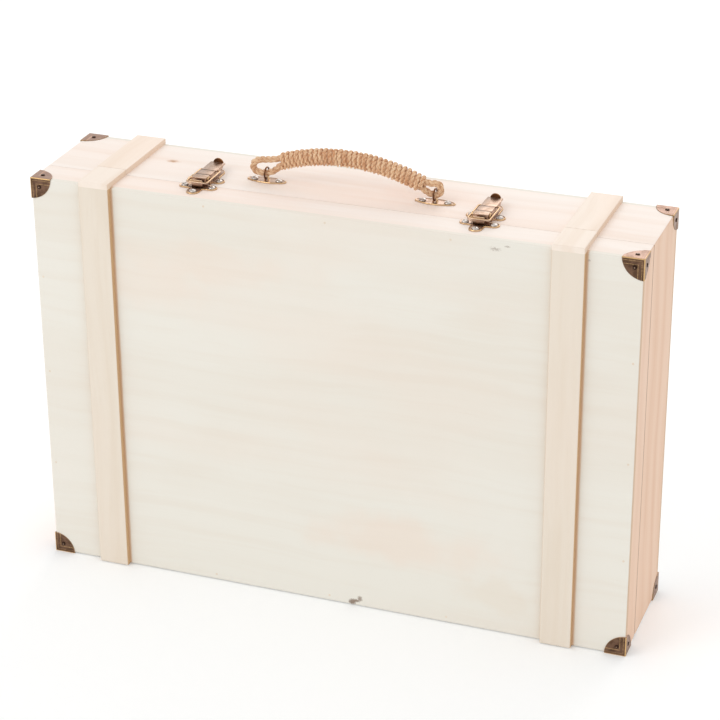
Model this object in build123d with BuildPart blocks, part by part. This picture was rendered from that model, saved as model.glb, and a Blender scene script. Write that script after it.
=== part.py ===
from build123d import *
import os
from math import asin, cos, sin, sqrt

# A small wooden carrying case that stands on its long edge: a shallow hinged lid in
# front, a deeper base behind, two battens, eight metal corner protectors, two
# draw latches and a bound rope handle on top.
# Frame: X right, Y to the back, Z up; origin at the bottom centre of the whole object.
# All sizes are in millimetres.

# ---------------------------------------------------------------- driving sizes
case_width = 470.0
case_height = 320.0
case_depth = 100.0
lid_depth = 28.4
seam_gap = 0.4
panel_thickness = 4.0
rail_thickness = 9.0
edge_round = 1.0

batten_width = 24.0
batten_thickness = 4.5
batten_offset = 182.0
batten_round = 0.8

protector_leg = 16.0
protector_thickness = 0.8
protector_round = 0.7
nail_inset = 6.5
nail_head_radius = 1.6
nail_head_rise = 0.5
nail_shank_radius = 0.6
nail_length = 3.2

brad_head_radius = 0.9
brad_shank_radius = 0.6
brad_length = 14.0
brad_columns = 5
brad_column_spacing = 95.0
brad_rows = 3
brad_row_spacing = 80.0

screw_head_radius = 2.7
screw_head_rise = 1.4
screw_shank_radius = 1.1
screw_length = 6.0
screw_slot_width = 0.6
screw_slot_depth = 0.5

pivot_height = 2.2
groove_depth = 3.4
hinge_offset = 130.0
hinge_length = 32.0
hinge_barrel_radius = 2.0
hinge_barrel_clearance = 0.3
hinge_pin_radius = 0.8
hinge_leaf_thickness = 0.8
hinge_leaf_height = 6.4
hinge_middle_knuckle = 12.0
hinge_knuckle_gap = 0.2
hinge_screw_spacing = 20.0
hinge_screw_head_radius = 1.4
hinge_screw_radius = 0.8
hinge_screw_length = 6.0
running_clearance = 0.05
pocket_clearance = 0.1

latch_offset = 109.0
latch_plate_thickness = 0.8
strike_lobe_offset = 10.8
strike_lobe_radius = 4.2
strike_front_radius = 5.0
strike_length = 19.4
strike_edge_gap = 0.4
base_lobe_offset = 10.5
base_lobe_radius = 4.4
base_plate_start = 30.4
base_lobe_place = 38.0
base_rear_radius = 8.0
base_plate_end = 62.0
base_neck_width = 16.0

lever_width = 11.6
lever_pivot_place = 28.6
lever_pivot_rise = 5.3
lever_nose_radius = 4.3
lever_underside = 3.7
lever_front_top = 7.4
lever_middle_top = 6.9
lever_rear_top = 6.4
lever_first_step = 31.5
lever_second_step = 42.0
lever_body_end = 57.0
lever_end = 61.2
lever_tail_thickness = 1.2
lever_tab_radius = 4.2
ear_gap = 0.2
ear_thickness = 1.0
ear_radius = 2.2
ear_foot = 5.4
latch_pin_radius = 1.0

loop_wire_radius = 0.7
loop_arm_gap = 0.3
loop_corner_radius = 1.6
loop_pivot_place = 47.0
loop_bar_place = 20.0
loop_rise = 5.1
loop_socket_depth = 2.0
hook_gap = 0.25
hook_thickness = 1.4
hook_width = 8.4
hook_top = 6.6

handle_place = 52.5
handle_plate_offset = 66.0
handle_plate_length = 31.0
handle_plate_width = 11.5
handle_plate_thickness = 1.0
handle_screw_spacing = 19.3
ring_wire_radius = 0.65
ring_radius = 4.4
ring_gap = 0.2
bridge_width = 3.0
bridge_thickness = 0.55
bridge_top_clearance = 0.2
bridge_side_clearance = 0.35
bridge_round = 0.4
rope_radius = 2.4
strand_offset = 2.45
strand_inset = 0.8
strand_exit = 3.0
core_radius = 4.95
binding_gap = 0.1
binding_radius = 6.75
grip_left = (-54.0, 10.45)
grip_middle = (-2.0, 19.25)
grip_right = (56.0, 6.75)
eye_left_reach = 10.6
eye_right_reach = 4.3
eye_left_clearance = 2.15
eye_right_clearance = 1.75
eye_inner_reach = 4.9
eye_round = 4.0

# ---------------------------------------------------------------- derived planes
wood_bottom = protector_thickness
wood_top = wood_bottom + case_height
half_width = case_width / 2
overall_depth = batten_thickness + case_depth + protector_thickness + nail_head_rise
front = -overall_depth / 2 + batten_thickness
back = front + case_depth
seam = front + lid_depth
lid_seam_face = seam - seam_gap / 2
base_seam_face = seam + seam_gap / 2
lid_rail_front = front + panel_thickness
base_rail_back = back - panel_thickness
pivot_z = wood_bottom + pivot_height

os.makedirs("parts", exist_ok=True)


def save(builder, name):
    """Label a finished piece and write its STEP file."""
    builder.part.label = name
    export_step(builder.part, f"parts/{name}.step")


def block(x_from, x_to, y_from, y_to, z_from, z_to, mode=Mode.ADD):
    """A box between two corners, added to the part being built."""
    with BuildSketch(Plane.XY.offset(z_from)) as base:
        with Locations(((x_from + x_to) / 2, (y_from + y_to) / 2)):
            Rectangle(x_to - x_from, y_to - y_from)
    extrude(base.sketch, amount=z_to - z_from, mode=mode)


def rod(x_from, x_to, y, z, radius, mode=Mode.ADD):
    """A round bar along X."""
    with BuildSketch(Plane.YZ.offset(x_from)) as section:
        with Locations((y, z)):
            Circle(radius)
    extrude(section.sketch, amount=x_to - x_from, mode=mode)


# ---------------------------------------------------------------- fasteners
def turned(points):
    """A solid of revolution about Z from a half outline."""
    with BuildPart() as piece:
        with BuildSketch(Plane.XZ):
            with BuildLine():
                Polyline(*points, close=True)
            make_face()
        revolve(axis=Axis.Z)
    return piece.part


def domed(points, radius, rise):
    """A turned solid whose head is a cap of a sphere of the given radius and rise."""
    sphere_radius = (radius**2 + rise**2) / (2 * rise)
    half_angle = asin(radius / sphere_radius) / 2
    middle_x = sphere_radius * sin(half_angle)
    middle_z = rise - sphere_radius * (1 - cos(half_angle))
    with BuildPart() as piece:
        with BuildSketch(Plane.XZ):
            with BuildLine():
                Polyline((0, rise), *points, (radius, 0))
                ThreePointArc((radius, 0), (middle_x, middle_z), (0, rise))
            make_face()
        revolve(axis=Axis.Z)
    return piece.part


plate_screw = domed(
    [
        (0, -screw_length),
        (screw_shank_radius, -screw_length + screw_shank_radius),
        (screw_shank_radius, 0),
    ],
    screw_head_radius,
    screw_head_rise,
)
with BuildPart() as slotted_screw:
    add(plate_screw)
    block(
        -screw_head_radius,
        screw_head_radius,
        -screw_slot_width / 2,
        screw_slot_width / 2,
        screw_head_rise - screw_slot_depth,
        screw_head_rise,
        mode=Mode.SUBTRACT,
    )

domed_nail = domed(
    [
        (0, -protector_thickness - nail_length),
        (nail_shank_radius, -protector_thickness - nail_length + nail_shank_radius),
        (nail_shank_radius, 0),
    ],
    nail_head_radius,
    nail_head_rise,
)
flush_nail = turned(
    [
        (0, 0),
        (0, -protector_thickness - nail_length),
        (nail_shank_radius, -protector_thickness - nail_length + nail_shank_radius),
        (nail_shank_radius, -protector_thickness),
        (nail_head_radius, 0),
    ]
)
brad = turned(
    [
        (0, 0),
        (0, -brad_length),
        (brad_shank_radius, -brad_length + brad_shank_radius),
        (brad_shank_radius, -brad_head_radius + brad_shank_radius),
        (brad_head_radius, 0),
    ]
)
hinge_screw = turned(
    [
        (0, 0),
        (0, -hinge_screw_length),
        (hinge_screw_radius, -hinge_screw_length + hinge_screw_radius),
        (hinge_screw_radius, -hinge_screw_head_radius + hinge_screw_radius),
        (hinge_screw_head_radius, 0),
    ]
)


def group(name, solid, planes):
    """One node that holds a copy of a fastener on each plane, heads outwards."""
    with BuildPart() as fasteners:
        with Locations(*[Location(plane) for plane in planes]):
            add(solid)
    save(fasteners, name)
    return fasteners.part


def facing_up(x, y, z):
    """A plane whose normal is +Z."""
    return Plane((x, y, z), x_dir=(1, 0, 0), z_dir=(0, 0, 1))


def facing_down(x, y, z):
    """A plane whose normal is -Z."""
    return Plane((x, y, z), x_dir=(1, 0, 0), z_dir=(0, 0, -1))


def facing_front(x, y, z):
    """A plane whose normal is -Y."""
    return Plane((x, y, z), x_dir=(1, 0, 0), z_dir=(0, -1, 0))


def facing_back(x, y, z):
    """A plane whose normal is +Y."""
    return Plane((x, y, z), x_dir=(1, 0, 0), z_dir=(0, 1, 0))


def facing_side(x, y, z, side):
    """A plane whose normal is +X or -X."""
    return Plane((x, y, z), x_dir=(0, 1, 0), z_dir=(side, 0, 0))


def corner_nails(name, face_y, outward):
    """The nails of the four protectors on one shell; outward is -1 for the lid."""
    domed_planes = []
    flush_planes = []
    nail_y = face_y - outward * nail_inset
    outer_y = face_y + outward * protector_thickness
    for side in (-1, 1):
        nail_x = side * (half_width - nail_inset)
        outer_x = side * (half_width + protector_thickness)
        domed_planes.append(facing_up(nail_x, nail_y, wood_top + protector_thickness))
        flush_planes.append(facing_down(nail_x, nail_y, 0))
        for nail_z in (wood_bottom + nail_inset, wood_top - nail_inset):
            domed_planes.append(facing_side(outer_x, nail_y, nail_z, side))
            facing = facing_front if outward < 0 else facing_back
            domed_planes.append(facing(nail_x, outer_y, nail_z))
    with BuildPart() as nails:
        with Locations(*[Location(plane) for plane in domed_planes]):
            add(domed_nail)
        with Locations(*[Location(plane) for plane in flush_planes]):
            add(flush_nail)
    save(nails, name)
    return nails.part


def brad_places():
    """X and Z of the brads round a panel, in line with the rails behind it."""
    inset = rail_thickness / 2
    places = []
    for column in range(brad_columns):
        x = (column - (brad_columns - 1) / 2) * brad_column_spacing
        places += [(x, wood_bottom + inset), (x, wood_top - inset)]
    for row in range(brad_rows):
        z = (wood_bottom + wood_top) / 2 + (row - (brad_rows - 1) / 2) * brad_row_spacing
        places += [(-half_width + inset, z), (half_width - inset, z)]
    return places


lid_nails = corner_nails("lid_corner_nails", front, -1)
base_nails = corner_nails("base_corner_nails", back, 1)
lid_brads = group("lid_panel_brads", brad, [facing_front(x, front, z) for x, z in brad_places()])
base_brads = group("base_panel_brads", brad, [facing_back(x, back, z) for x, z in brad_places()])

latch_xs = {"left": -latch_offset, "right": latch_offset}
strike_back = lid_seam_face - strike_edge_gap
strike_lobe_y = strike_back - strike_lobe_radius
strike_front_y = strike_back - strike_length + strike_front_radius
base_plate_front = front + base_plate_start
base_lobe_y = front + base_lobe_place
base_rear_y = front + base_plate_end - base_rear_radius
latch_plate_top = wood_top + latch_plate_thickness

strike_screw_planes = []
base_screw_planes = []
for latch_x in latch_xs.values():
    for lobe_x in (latch_x - strike_lobe_offset, latch_x + strike_lobe_offset):
        strike_screw_planes.append(facing_up(lobe_x, strike_lobe_y, latch_plate_top))
    strike_screw_planes.append(facing_up(latch_x, strike_front_y, latch_plate_top))
    for lobe_x in (latch_x - base_lobe_offset, latch_x + base_lobe_offset):
        base_screw_planes.append(facing_up(lobe_x, base_lobe_y, latch_plate_top))
    base_screw_planes.append(facing_up(latch_x, base_rear_y, latch_plate_top))
strike_screws = group("strike_screws", slotted_screw.part, strike_screw_planes)
latch_base_screws = group("latch_base_screws", slotted_screw.part, base_screw_planes)

handle_y = front + handle_place
handle_plate_top = wood_top + handle_plate_thickness
handle_screw_planes = [
    facing_up(side * handle_plate_offset + step * handle_screw_spacing / 2, handle_y, handle_plate_top)
    for side in (-1, 1)
    for step in (-1, 1)
]
handle_screws = group("handle_screws", slotted_screw.part, handle_screw_planes)

hinge_screw_z = pivot_z + (hinge_barrel_radius + hinge_leaf_height) / 2
hinge_screw_xs = [
    side * hinge_offset + step * hinge_screw_spacing / 2 for side in (-1, 1) for step in (-1, 1)
]
hinge_lid_screws = group(
    "hinge_lid_screws",
    hinge_screw,
    [facing_back(x, lid_seam_face, hinge_screw_z) for x in hinge_screw_xs],
)
hinge_base_screws = group(
    "hinge_base_screws",
    hinge_screw,
    [facing_front(x, base_seam_face, hinge_screw_z) for x in hinge_screw_xs],
)

# ---------------------------------------------------------------- wooden shells
with BuildPart() as envelope:
    block(-half_width, half_width, front, back, wood_bottom, wood_top)
    fillet(envelope.edges(), radius=edge_round)


def seam_groove(face_y, outward):
    """The sloped cut along the bottom edge of one shell that clears the hinge line."""
    with BuildSketch(Plane.YZ.offset(-half_width)) as section:
        with BuildLine():
            Polyline(
                (face_y, wood_bottom),
                (face_y, pivot_z),
                (face_y + outward * groove_depth, wood_bottom),
                close=True,
            )
        make_face()
    extrude(section.sketch, amount=case_width, mode=Mode.SUBTRACT)


def board_blank(outline, y_from, y_to):
    """An outline in X and Z drawn out along Y, inside the rounded envelope of the case."""
    with BuildSketch(Plane.XZ.offset(-y_from)) as section:
        with BuildLine():
            Polyline(*outline, close=True)
        make_face()
    extrude(section.sketch, amount=y_from - y_to)
    add(envelope.part, mode=Mode.INTERSECT)


def shell_piece(name, outline, y_from, y_to, fasteners):
    """A panel or top board of one shell, with its holes."""
    with BuildPart() as board:
        board_blank(outline, y_from, y_to)
        for fastener in fasteners:
            add(fastener, mode=Mode.SUBTRACT)
    save(board, name)


def side_rail(name, outline, y_from, y_to, face_y, outward, fasteners):
    """A side board of one shell, with its holes and its end of the hinge groove."""
    with BuildPart() as board:
        board_blank(outline, y_from, y_to)
        seam_groove(face_y, outward)
        for fastener in fasteners:
            add(fastener, mode=Mode.SUBTRACT)
    save(board, name)


outer_left = (-half_width, wood_bottom), (-half_width, wood_top)
outer_right = (half_width, wood_bottom), (half_width, wood_top)
inner_left = (
    (-half_width + rail_thickness, wood_bottom + rail_thickness),
    (-half_width + rail_thickness, wood_top - rail_thickness),
)
inner_right = (
    (half_width - rail_thickness, wood_bottom + rail_thickness),
    (half_width - rail_thickness, wood_top - rail_thickness),
)
panel_outline = [outer_left[0], outer_right[0], outer_right[1], outer_left[1]]
top_outline = [outer_left[1], outer_right[1], inner_right[1], inner_left[1]]
bottom_outline = [outer_left[0], outer_right[0], inner_right[0], inner_left[0]]
left_outline = [outer_left[0], outer_left[1], inner_left[1], inner_left[0]]
right_outline = [outer_right[0], outer_right[1], inner_right[1], inner_right[0]]

shell_piece("front_panel", panel_outline, front, lid_rail_front, [lid_nails, lid_brads])
shell_piece("back_panel", panel_outline, base_rail_back, back, [base_nails, base_brads])
shell_piece(
    "lid_rail_top",
    top_outline,
    lid_rail_front,
    lid_seam_face,
    [lid_nails, lid_brads, strike_screws],
)
shell_piece(
    "base_rail_top",
    top_outline,
    base_seam_face,
    base_rail_back,
    [base_nails, base_brads, latch_base_screws, handle_screws],
)
for side_name, side_outline in (("left", left_outline), ("right", right_outline)):
    side_rail(
        f"lid_rail_{side_name}",
        side_outline,
        lid_rail_front,
        lid_seam_face,
        lid_seam_face,
        -1,
        [lid_nails, lid_brads],
    )
    side_rail(
        f"base_rail_{side_name}",
        side_outline,
        base_seam_face,
        base_rail_back,
        base_seam_face,
        1,
        [base_nails, base_brads],
    )


def hinge_seats(face_y, outward):
    """The recesses for the two hinges in one shell's seam face."""
    leaf_back = face_y + outward * hinge_leaf_thickness
    half_seat = hinge_length / 2 + pocket_clearance
    seat_top = pivot_z + hinge_leaf_height + pocket_clearance
    for hinge_x in (-hinge_offset, hinge_offset):
        block(
            hinge_x - half_seat,
            hinge_x + half_seat,
            min(face_y, leaf_back),
            max(face_y, leaf_back),
            wood_bottom,
            seat_top,
            mode=Mode.SUBTRACT,
        )
        rod(
            hinge_x - half_seat,
            hinge_x + half_seat,
            seam,
            pivot_z,
            hinge_barrel_radius + hinge_barrel_clearance,
            mode=Mode.SUBTRACT,
        )


def bottom_rail(name, y_from, y_to, face_y, outward, fasteners):
    """The bottom board of one shell, with the hinge groove and the hinge seats."""
    with BuildPart() as board:
        board_blank(bottom_outline, y_from, y_to)
        seam_groove(face_y, outward)
        hinge_seats(face_y, outward)
        for fastener in fasteners:
            add(fastener, mode=Mode.SUBTRACT)
    save(board, name)


bottom_rail(
    "lid_rail_bottom",
    lid_rail_front,
    lid_seam_face,
    lid_seam_face,
    -1,
    [lid_nails, lid_brads, hinge_lid_screws],
)
bottom_rail(
    "base_rail_bottom",
    base_seam_face,
    base_rail_back,
    base_seam_face,
    1,
    [base_nails, base_brads, hinge_base_screws],
)

# ---------------------------------------------------------------- battens
for side_name, side in (("left", -1), ("right", 1)):
    batten_from = side * batten_offset - batten_width / 2
    batten_to = side * batten_offset + batten_width / 2
    with BuildPart() as front_batten:
        block(batten_from, batten_to, front - batten_thickness, front, wood_bottom, wood_top)
        long_edges = front_batten.edges().filter_by(Axis.Z).group_by(Axis.Y)[0]
        bottom_edge = front_batten.edges().filter_by(Axis.X).group_by(Axis.Z)[0].sort_by(Axis.Y)[0]
        fillet([*long_edges, bottom_edge], radius=batten_round)
    save(front_batten, f"front_batten_{side_name}")
    batten_top = wood_top + batten_thickness
    with BuildPart() as lid_batten:
        block(batten_from, batten_to, front - batten_thickness, lid_seam_face, wood_top, batten_top)
        long_edges = lid_batten.edges().filter_by(Axis.Y).group_by(Axis.Z)[-1]
        front_edges = lid_batten.faces().sort_by(Axis.Y)[0].edges()
        corner_edges = front_edges.filter_by(Axis.Z)
        nose_edge = front_edges.filter_by(Axis.X).sort_by(Axis.Z)[-1]
        fillet([*long_edges, *corner_edges, nose_edge], radius=batten_round)
    save(lid_batten, f"lid_batten_{side_name}")
    with BuildPart() as base_batten:
        block(batten_from, batten_to, base_seam_face, back, wood_top, batten_top)
        long_edges = base_batten.edges().filter_by(Axis.Y).group_by(Axis.Z)[-1]
        back_edge = base_batten.faces().sort_by(Axis.Y)[-1].edges().filter_by(Axis.X).sort_by(Axis.Z)[-1]
        fillet([*long_edges, back_edge], radius=batten_round)
    save(base_batten, f"base_batten_{side_name}")


# ---------------------------------------------------------------- corner protectors
def protector_leg_plate(plane, corner, far, skin, thickness):
    """One flat leg of a protector: a quarter circle about the case corner."""
    with BuildSketch(plane) as outline:
        with Locations(corner):
            Circle(protector_leg)
        with Locations(((far[0] + skin[0]) / 2, (far[1] + skin[1]) / 2)):
            Rectangle(abs(far[0] - skin[0]), abs(far[1] - skin[1]), mode=Mode.INTERSECT)
    extrude(outline.sketch, amount=thickness)


def protector(name, side, face_y, outward, level, nails):
    """A three-sided corner cap with rounded legs; level is 1 at the top, -1 at the bottom."""
    corner_x = side * half_width
    corner_z = wood_top if level > 0 else wood_bottom
    far_x = corner_x - side * protector_leg
    far_y = face_y - outward * protector_leg
    far_z = corner_z - level * protector_leg
    skin_x = corner_x + side * protector_thickness
    skin_y = face_y + outward * protector_thickness
    skin_z = corner_z + level * protector_thickness
    with BuildPart() as cap:
        protector_leg_plate(
            Plane.XY.offset(corner_z),
            (corner_x, face_y),
            (far_x, far_y),
            (skin_x, skin_y),
            level * protector_thickness,
        )
        protector_leg_plate(
            Plane.XZ.offset(-face_y),
            (corner_x, corner_z),
            (far_x, far_z),
            (skin_x, skin_z),
            -outward * protector_thickness,
        )
        protector_leg_plate(
            Plane.YZ.offset(corner_x),
            (face_y, corner_z),
            (far_y, far_z),
            (skin_y, skin_z),
            side * protector_thickness,
        )
        outer_edges = [
            edge
            for edge in cap.edges()
            if abs(edge.center().X - skin_x) + abs(edge.center().Y - skin_y) < 0.01
            or abs(edge.center().Y - skin_y) + abs(edge.center().Z - skin_z) < 0.01
            or abs(edge.center().X - skin_x) + abs(edge.center().Z - skin_z) < 0.01
        ]
        fillet(outer_edges, radius=protector_round)
        add(nails, mode=Mode.SUBTRACT)
    save(cap, name)


for level_name, level in (("bottom", -1), ("top", 1)):
    for side_name, side in (("left", -1), ("right", 1)):
        protector(f"corner_front_{level_name}_{side_name}", side, front, -1, level, lid_nails)
        protector(f"corner_back_{level_name}_{side_name}", side, back, 1, level, base_nails)


# ---------------------------------------------------------------- hinges
def hinge_leaf(name, hinge_x, face_y, outward, own_spans, other_spans, screws):
    """A leaf let into the seam face, with its knuckles round the pin."""
    leaf_back = face_y + outward * hinge_leaf_thickness
    with BuildPart() as leaf:
        block(
            hinge_x - hinge_length / 2,
            hinge_x + hinge_length / 2,
            min(face_y, leaf_back),
            max(face_y, leaf_back),
            pivot_z,
            pivot_z + hinge_leaf_height,
        )
        for span_from, span_to in other_spans:
            rod(
                hinge_x + span_from,
                hinge_x + span_to,
                seam,
                pivot_z,
                hinge_barrel_radius + hinge_barrel_clearance,
                mode=Mode.SUBTRACT,
            )
        for span_from, span_to in own_spans:
            rod(hinge_x + span_from, hinge_x + span_to, seam, pivot_z, hinge_barrel_radius)
        rod(
            hinge_x - hinge_length / 2,
            hinge_x + hinge_length / 2,
            seam,
            pivot_z,
            hinge_pin_radius + running_clearance,
            mode=Mode.SUBTRACT,
        )
        add(screws, mode=Mode.SUBTRACT)
    save(leaf, name)


middle = hinge_middle_knuckle / 2
outer = hinge_length / 2
outer_spans = [(-outer, -middle - hinge_knuckle_gap), (middle + hinge_knuckle_gap, outer)]
wide_middle = [(-middle - hinge_knuckle_gap, middle + hinge_knuckle_gap)]
wide_outer = [(-outer, -middle), (middle, outer)]
for side_name, hinge_x in (("left", -hinge_offset), ("right", hinge_offset)):
    hinge_leaf(
        f"hinge_lid_leaf_{side_name}",
        hinge_x,
        lid_seam_face,
        -1,
        [(-middle, middle)],
        wide_outer,
        hinge_lid_screws,
    )
    hinge_leaf(
        f"hinge_base_leaf_{side_name}",
        hinge_x,
        base_seam_face,
        1,
        outer_spans,
        wide_middle,
        hinge_base_screws,
    )
    with BuildPart() as hinge_pin:
        rod(hinge_x - outer, hinge_x + outer, seam, pivot_z, hinge_pin_radius)
    save(hinge_pin, f"hinge_pin_{side_name}")

# ---------------------------------------------------------------- draw latches
lever_half = lever_width / 2
ear_inner = lever_half + ear_gap
ear_outer = ear_inner + ear_thickness
loop_arm = ear_outer + loop_arm_gap + loop_wire_radius
pivot_y = front + lever_pivot_place
lever_pivot_z = wood_top + lever_pivot_rise
loop_pivot_y = front + loop_pivot_place
loop_bar_y = front + loop_bar_place
loop_z = wood_top + loop_rise
hook_front = loop_bar_y + loop_wire_radius + hook_gap
lever_front_y = pivot_y - lever_nose_radius


def strike_plate(name, latch_x):
    """The three-lobed plate on the lid with the upright hook that the loop pulls on."""
    with BuildPart() as plate:
        with BuildSketch(Plane.XY.offset(wood_top)):
            with Locations(
                (latch_x - strike_lobe_offset, strike_lobe_y),
                (latch_x + strike_lobe_offset, strike_lobe_y),
            ):
                Circle(strike_lobe_radius)
            with Locations((latch_x, strike_front_y)):
                Circle(strike_front_radius)
            with BuildLine():
                Polyline(
                    (latch_x - strike_lobe_offset, strike_back),
                    (latch_x + strike_lobe_offset, strike_back),
                    (latch_x + strike_lobe_offset, strike_lobe_y),
                    (latch_x + strike_front_radius, strike_front_y),
                    (latch_x - strike_front_radius, strike_front_y),
                    (latch_x - strike_lobe_offset, strike_lobe_y),
                    close=True,
                )
            make_face()
        extrude(amount=latch_plate_thickness)
        block(
            latch_x - hook_width / 2,
            latch_x + hook_width / 2,
            hook_front,
            hook_front + hook_thickness,
            wood_top,
            wood_top + hook_top,
        )
        hook_edges = plate.edges().filter_by(Axis.X).group_by(Axis.Z)[-1]
        fillet(hook_edges, radius=hook_thickness / 3)
        add(strike_screws, mode=Mode.SUBTRACT)
    save(plate, name)


def latch_base(name, latch_x):
    """The plate on the base with the two ears that carry the lever's pin."""
    with BuildPart() as plate:
        with BuildSketch(Plane.XY.offset(wood_top)):
            with Locations(
                (latch_x - base_lobe_offset, base_lobe_y),
                (latch_x + base_lobe_offset, base_lobe_y),
            ):
                Circle(base_lobe_radius)
            with Locations((latch_x, base_rear_y)):
                Circle(base_rear_radius)
            with Locations((latch_x, (base_plate_front + base_rear_y) / 2)):
                Rectangle(base_neck_width, base_rear_y - base_plate_front)
            with Locations((latch_x, base_lobe_y)):
                Rectangle(2 * base_lobe_offset, 2 * base_lobe_radius)
        extrude(amount=latch_plate_thickness)
        for ear_from in (latch_x - ear_outer, latch_x + ear_inner):
            with BuildSketch(Plane.YZ.offset(ear_from)):
                with Locations((pivot_y, lever_pivot_z)):
                    Circle(ear_radius)
                with BuildLine():
                    Polyline(
                        (base_plate_front, wood_top),
                        (base_plate_front + ear_foot, wood_top),
                        (base_plate_front + ear_foot, latch_plate_top),
                        (base_plate_front, latch_plate_top),
                        close=True,
                    )
                make_face()
                make_hull()
            extrude(amount=ear_thickness)
        rod(
            latch_x - ear_outer,
            latch_x + ear_outer,
            pivot_y,
            lever_pivot_z,
            latch_pin_radius,
            mode=Mode.SUBTRACT,
        )
        add(latch_base_screws, mode=Mode.SUBTRACT)
    save(plate, name)


def latch_lever(name, latch_x):
    """The stepped over-centre lever with its rounded nose and upright finger tab."""
    rear_top = wood_top + lever_rear_top
    tail_bottom = rear_top - lever_tail_thickness
    with BuildPart() as lever:
        with BuildSketch(Plane.YZ.offset(latch_x - lever_half)):
            with Locations((pivot_y, lever_pivot_z)):
                Circle(lever_nose_radius)
            with BuildLine():
                Polyline(
                    (lever_front_y, wood_top + lever_front_top),
                    (lever_front_y, lever_pivot_z + lever_nose_radius),
                    (pivot_y + lever_nose_radius, lever_pivot_z + lever_nose_radius),
                    (pivot_y + lever_nose_radius, wood_top + lever_front_top),
                    close=True,
                )
            make_face(mode=Mode.SUBTRACT)
            with BuildLine():
                Polyline(
                    (pivot_y, wood_top + lever_underside),
                    (pivot_y, wood_top + lever_front_top),
                    (front + lever_first_step, wood_top + lever_front_top),
                    (front + lever_first_step, wood_top + lever_middle_top),
                    (front + lever_second_step, wood_top + lever_middle_top),
                    (front + lever_second_step, rear_top),
                    (front + lever_end, rear_top),
                    (front + lever_end, tail_bottom),
                    (front + lever_body_end, tail_bottom),
                    (front + lever_body_end - lever_tail_thickness, wood_top + lever_underside),
                    close=True,
                )
            make_face()
        extrude(amount=lever_width)
        with BuildSketch(Plane.XZ.offset(-(front + lever_end))):
            with Locations((latch_x, tail_bottom)):
                Circle(lever_tab_radius)
            with Locations((latch_x, tail_bottom - lever_tab_radius)):
                Rectangle(2 * lever_tab_radius, 2 * lever_tab_radius, mode=Mode.SUBTRACT)
        extrude(amount=lever_tail_thickness)
        rod(
            latch_x - lever_half,
            latch_x + lever_half,
            pivot_y,
            lever_pivot_z,
            latch_pin_radius + running_clearance,
            mode=Mode.SUBTRACT,
        )
        for socket_from, socket_to in (
            (latch_x - lever_half, latch_x - lever_half + loop_socket_depth),
            (latch_x + lever_half - loop_socket_depth, latch_x + lever_half),
        ):
            rod(
                socket_from,
                socket_to,
                loop_pivot_y,
                loop_z,
                loop_wire_radius + running_clearance,
                mode=Mode.SUBTRACT,
            )
    save(lever, name)


def latch_loop(name, latch_x):
    """The bent-wire loop: a front bar, two arms and two ends turned into the lever."""
    end = lever_half - loop_socket_depth + pocket_clearance
    with BuildPart() as loop:
        with BuildLine():
            FilletPolyline(
                (latch_x + end, loop_pivot_y, loop_z),
                (latch_x + loop_arm, loop_pivot_y, loop_z),
                (latch_x + loop_arm, loop_bar_y, loop_z),
                (latch_x - loop_arm, loop_bar_y, loop_z),
                (latch_x - loop_arm, loop_pivot_y, loop_z),
                (latch_x - end, loop_pivot_y, loop_z),
                radius=loop_corner_radius,
            )
        with BuildSketch(Plane.YZ.offset(latch_x + end)):
            with Locations((loop_pivot_y, loop_z)):
                Circle(loop_wire_radius)
        sweep()
    save(loop, name)


for side_name, latch_x in latch_xs.items():
    strike_plate(f"strike_plate_{side_name}", latch_x)
    latch_base(f"latch_base_{side_name}", latch_x)
    latch_lever(f"latch_lever_{side_name}", latch_x)
    latch_loop(f"latch_loop_{side_name}", latch_x)
    with BuildPart() as latch_pin:
        rod(latch_x - ear_outer, latch_x + ear_outer, pivot_y, lever_pivot_z, latch_pin_radius)
    save(latch_pin, f"latch_pin_{side_name}")

# ---------------------------------------------------------------- handle fittings
ring_z = handle_plate_top + ring_gap + ring_wire_radius + ring_radius
tunnel_half = ring_wire_radius + bridge_side_clearance
ring_drop = ring_radius - sqrt(ring_radius**2 - (bridge_width / 2) ** 2)
tunnel_top = handle_plate_top + ring_gap + 2 * ring_wire_radius + ring_drop + bridge_top_clearance
plate_circle = (handle_plate_length**2 + handle_plate_width**2) / (4 * handle_plate_width)
plate_shift = plate_circle - handle_plate_width / 2

for side_name, side in (("left", -1), ("right", 1)):
    plate_x = side * handle_plate_offset
    bridge_half = tunnel_half + bridge_thickness
    with BuildPart() as handle_plate:
        with BuildSketch(Plane.XY.offset(wood_top)):
            with Locations((plate_x, handle_y + plate_shift)):
                Circle(plate_circle)
            with Locations((plate_x, handle_y - plate_shift)):
                Circle(plate_circle, mode=Mode.INTERSECT)
        extrude(amount=handle_plate_thickness)
        block(
            plate_x - bridge_half,
            plate_x + bridge_half,
            handle_y - bridge_width / 2,
            handle_y + bridge_width / 2,
            wood_top,
            tunnel_top + bridge_thickness,
        )
        bridge_edges = handle_plate.edges().filter_by(Axis.Y).group_by(Axis.Z)[-1]
        fillet(bridge_edges, radius=bridge_round)
        block(
            plate_x - tunnel_half,
            plate_x + tunnel_half,
            handle_y - bridge_width / 2,
            handle_y + bridge_width / 2,
            handle_plate_top,
            tunnel_top,
            mode=Mode.SUBTRACT,
        )
        add(handle_screws, mode=Mode.SUBTRACT)
    save(handle_plate, f"handle_plate_{side_name}")

    with BuildPart() as ring:
        with BuildSketch(Plane.XY):
            with Locations((ring_radius, 0)):
                Circle(ring_wire_radius)
        revolve(axis=Axis.Y)
    ring_plane = Plane((plate_x, handle_y, ring_z), x_dir=(0, 1, 0), z_dir=(0, 0, 1))
    with BuildPart() as placed_ring:
        with Locations(Location(ring_plane)):
            add(ring.part)
    save(placed_ring, f"handle_ring_{side_name}")

# ---------------------------------------------------------------- rope handle
handle_plane = Plane((0, handle_y, ring_z), x_dir=(1, 0, 0), z_dir=(0, -1, 0))


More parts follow.
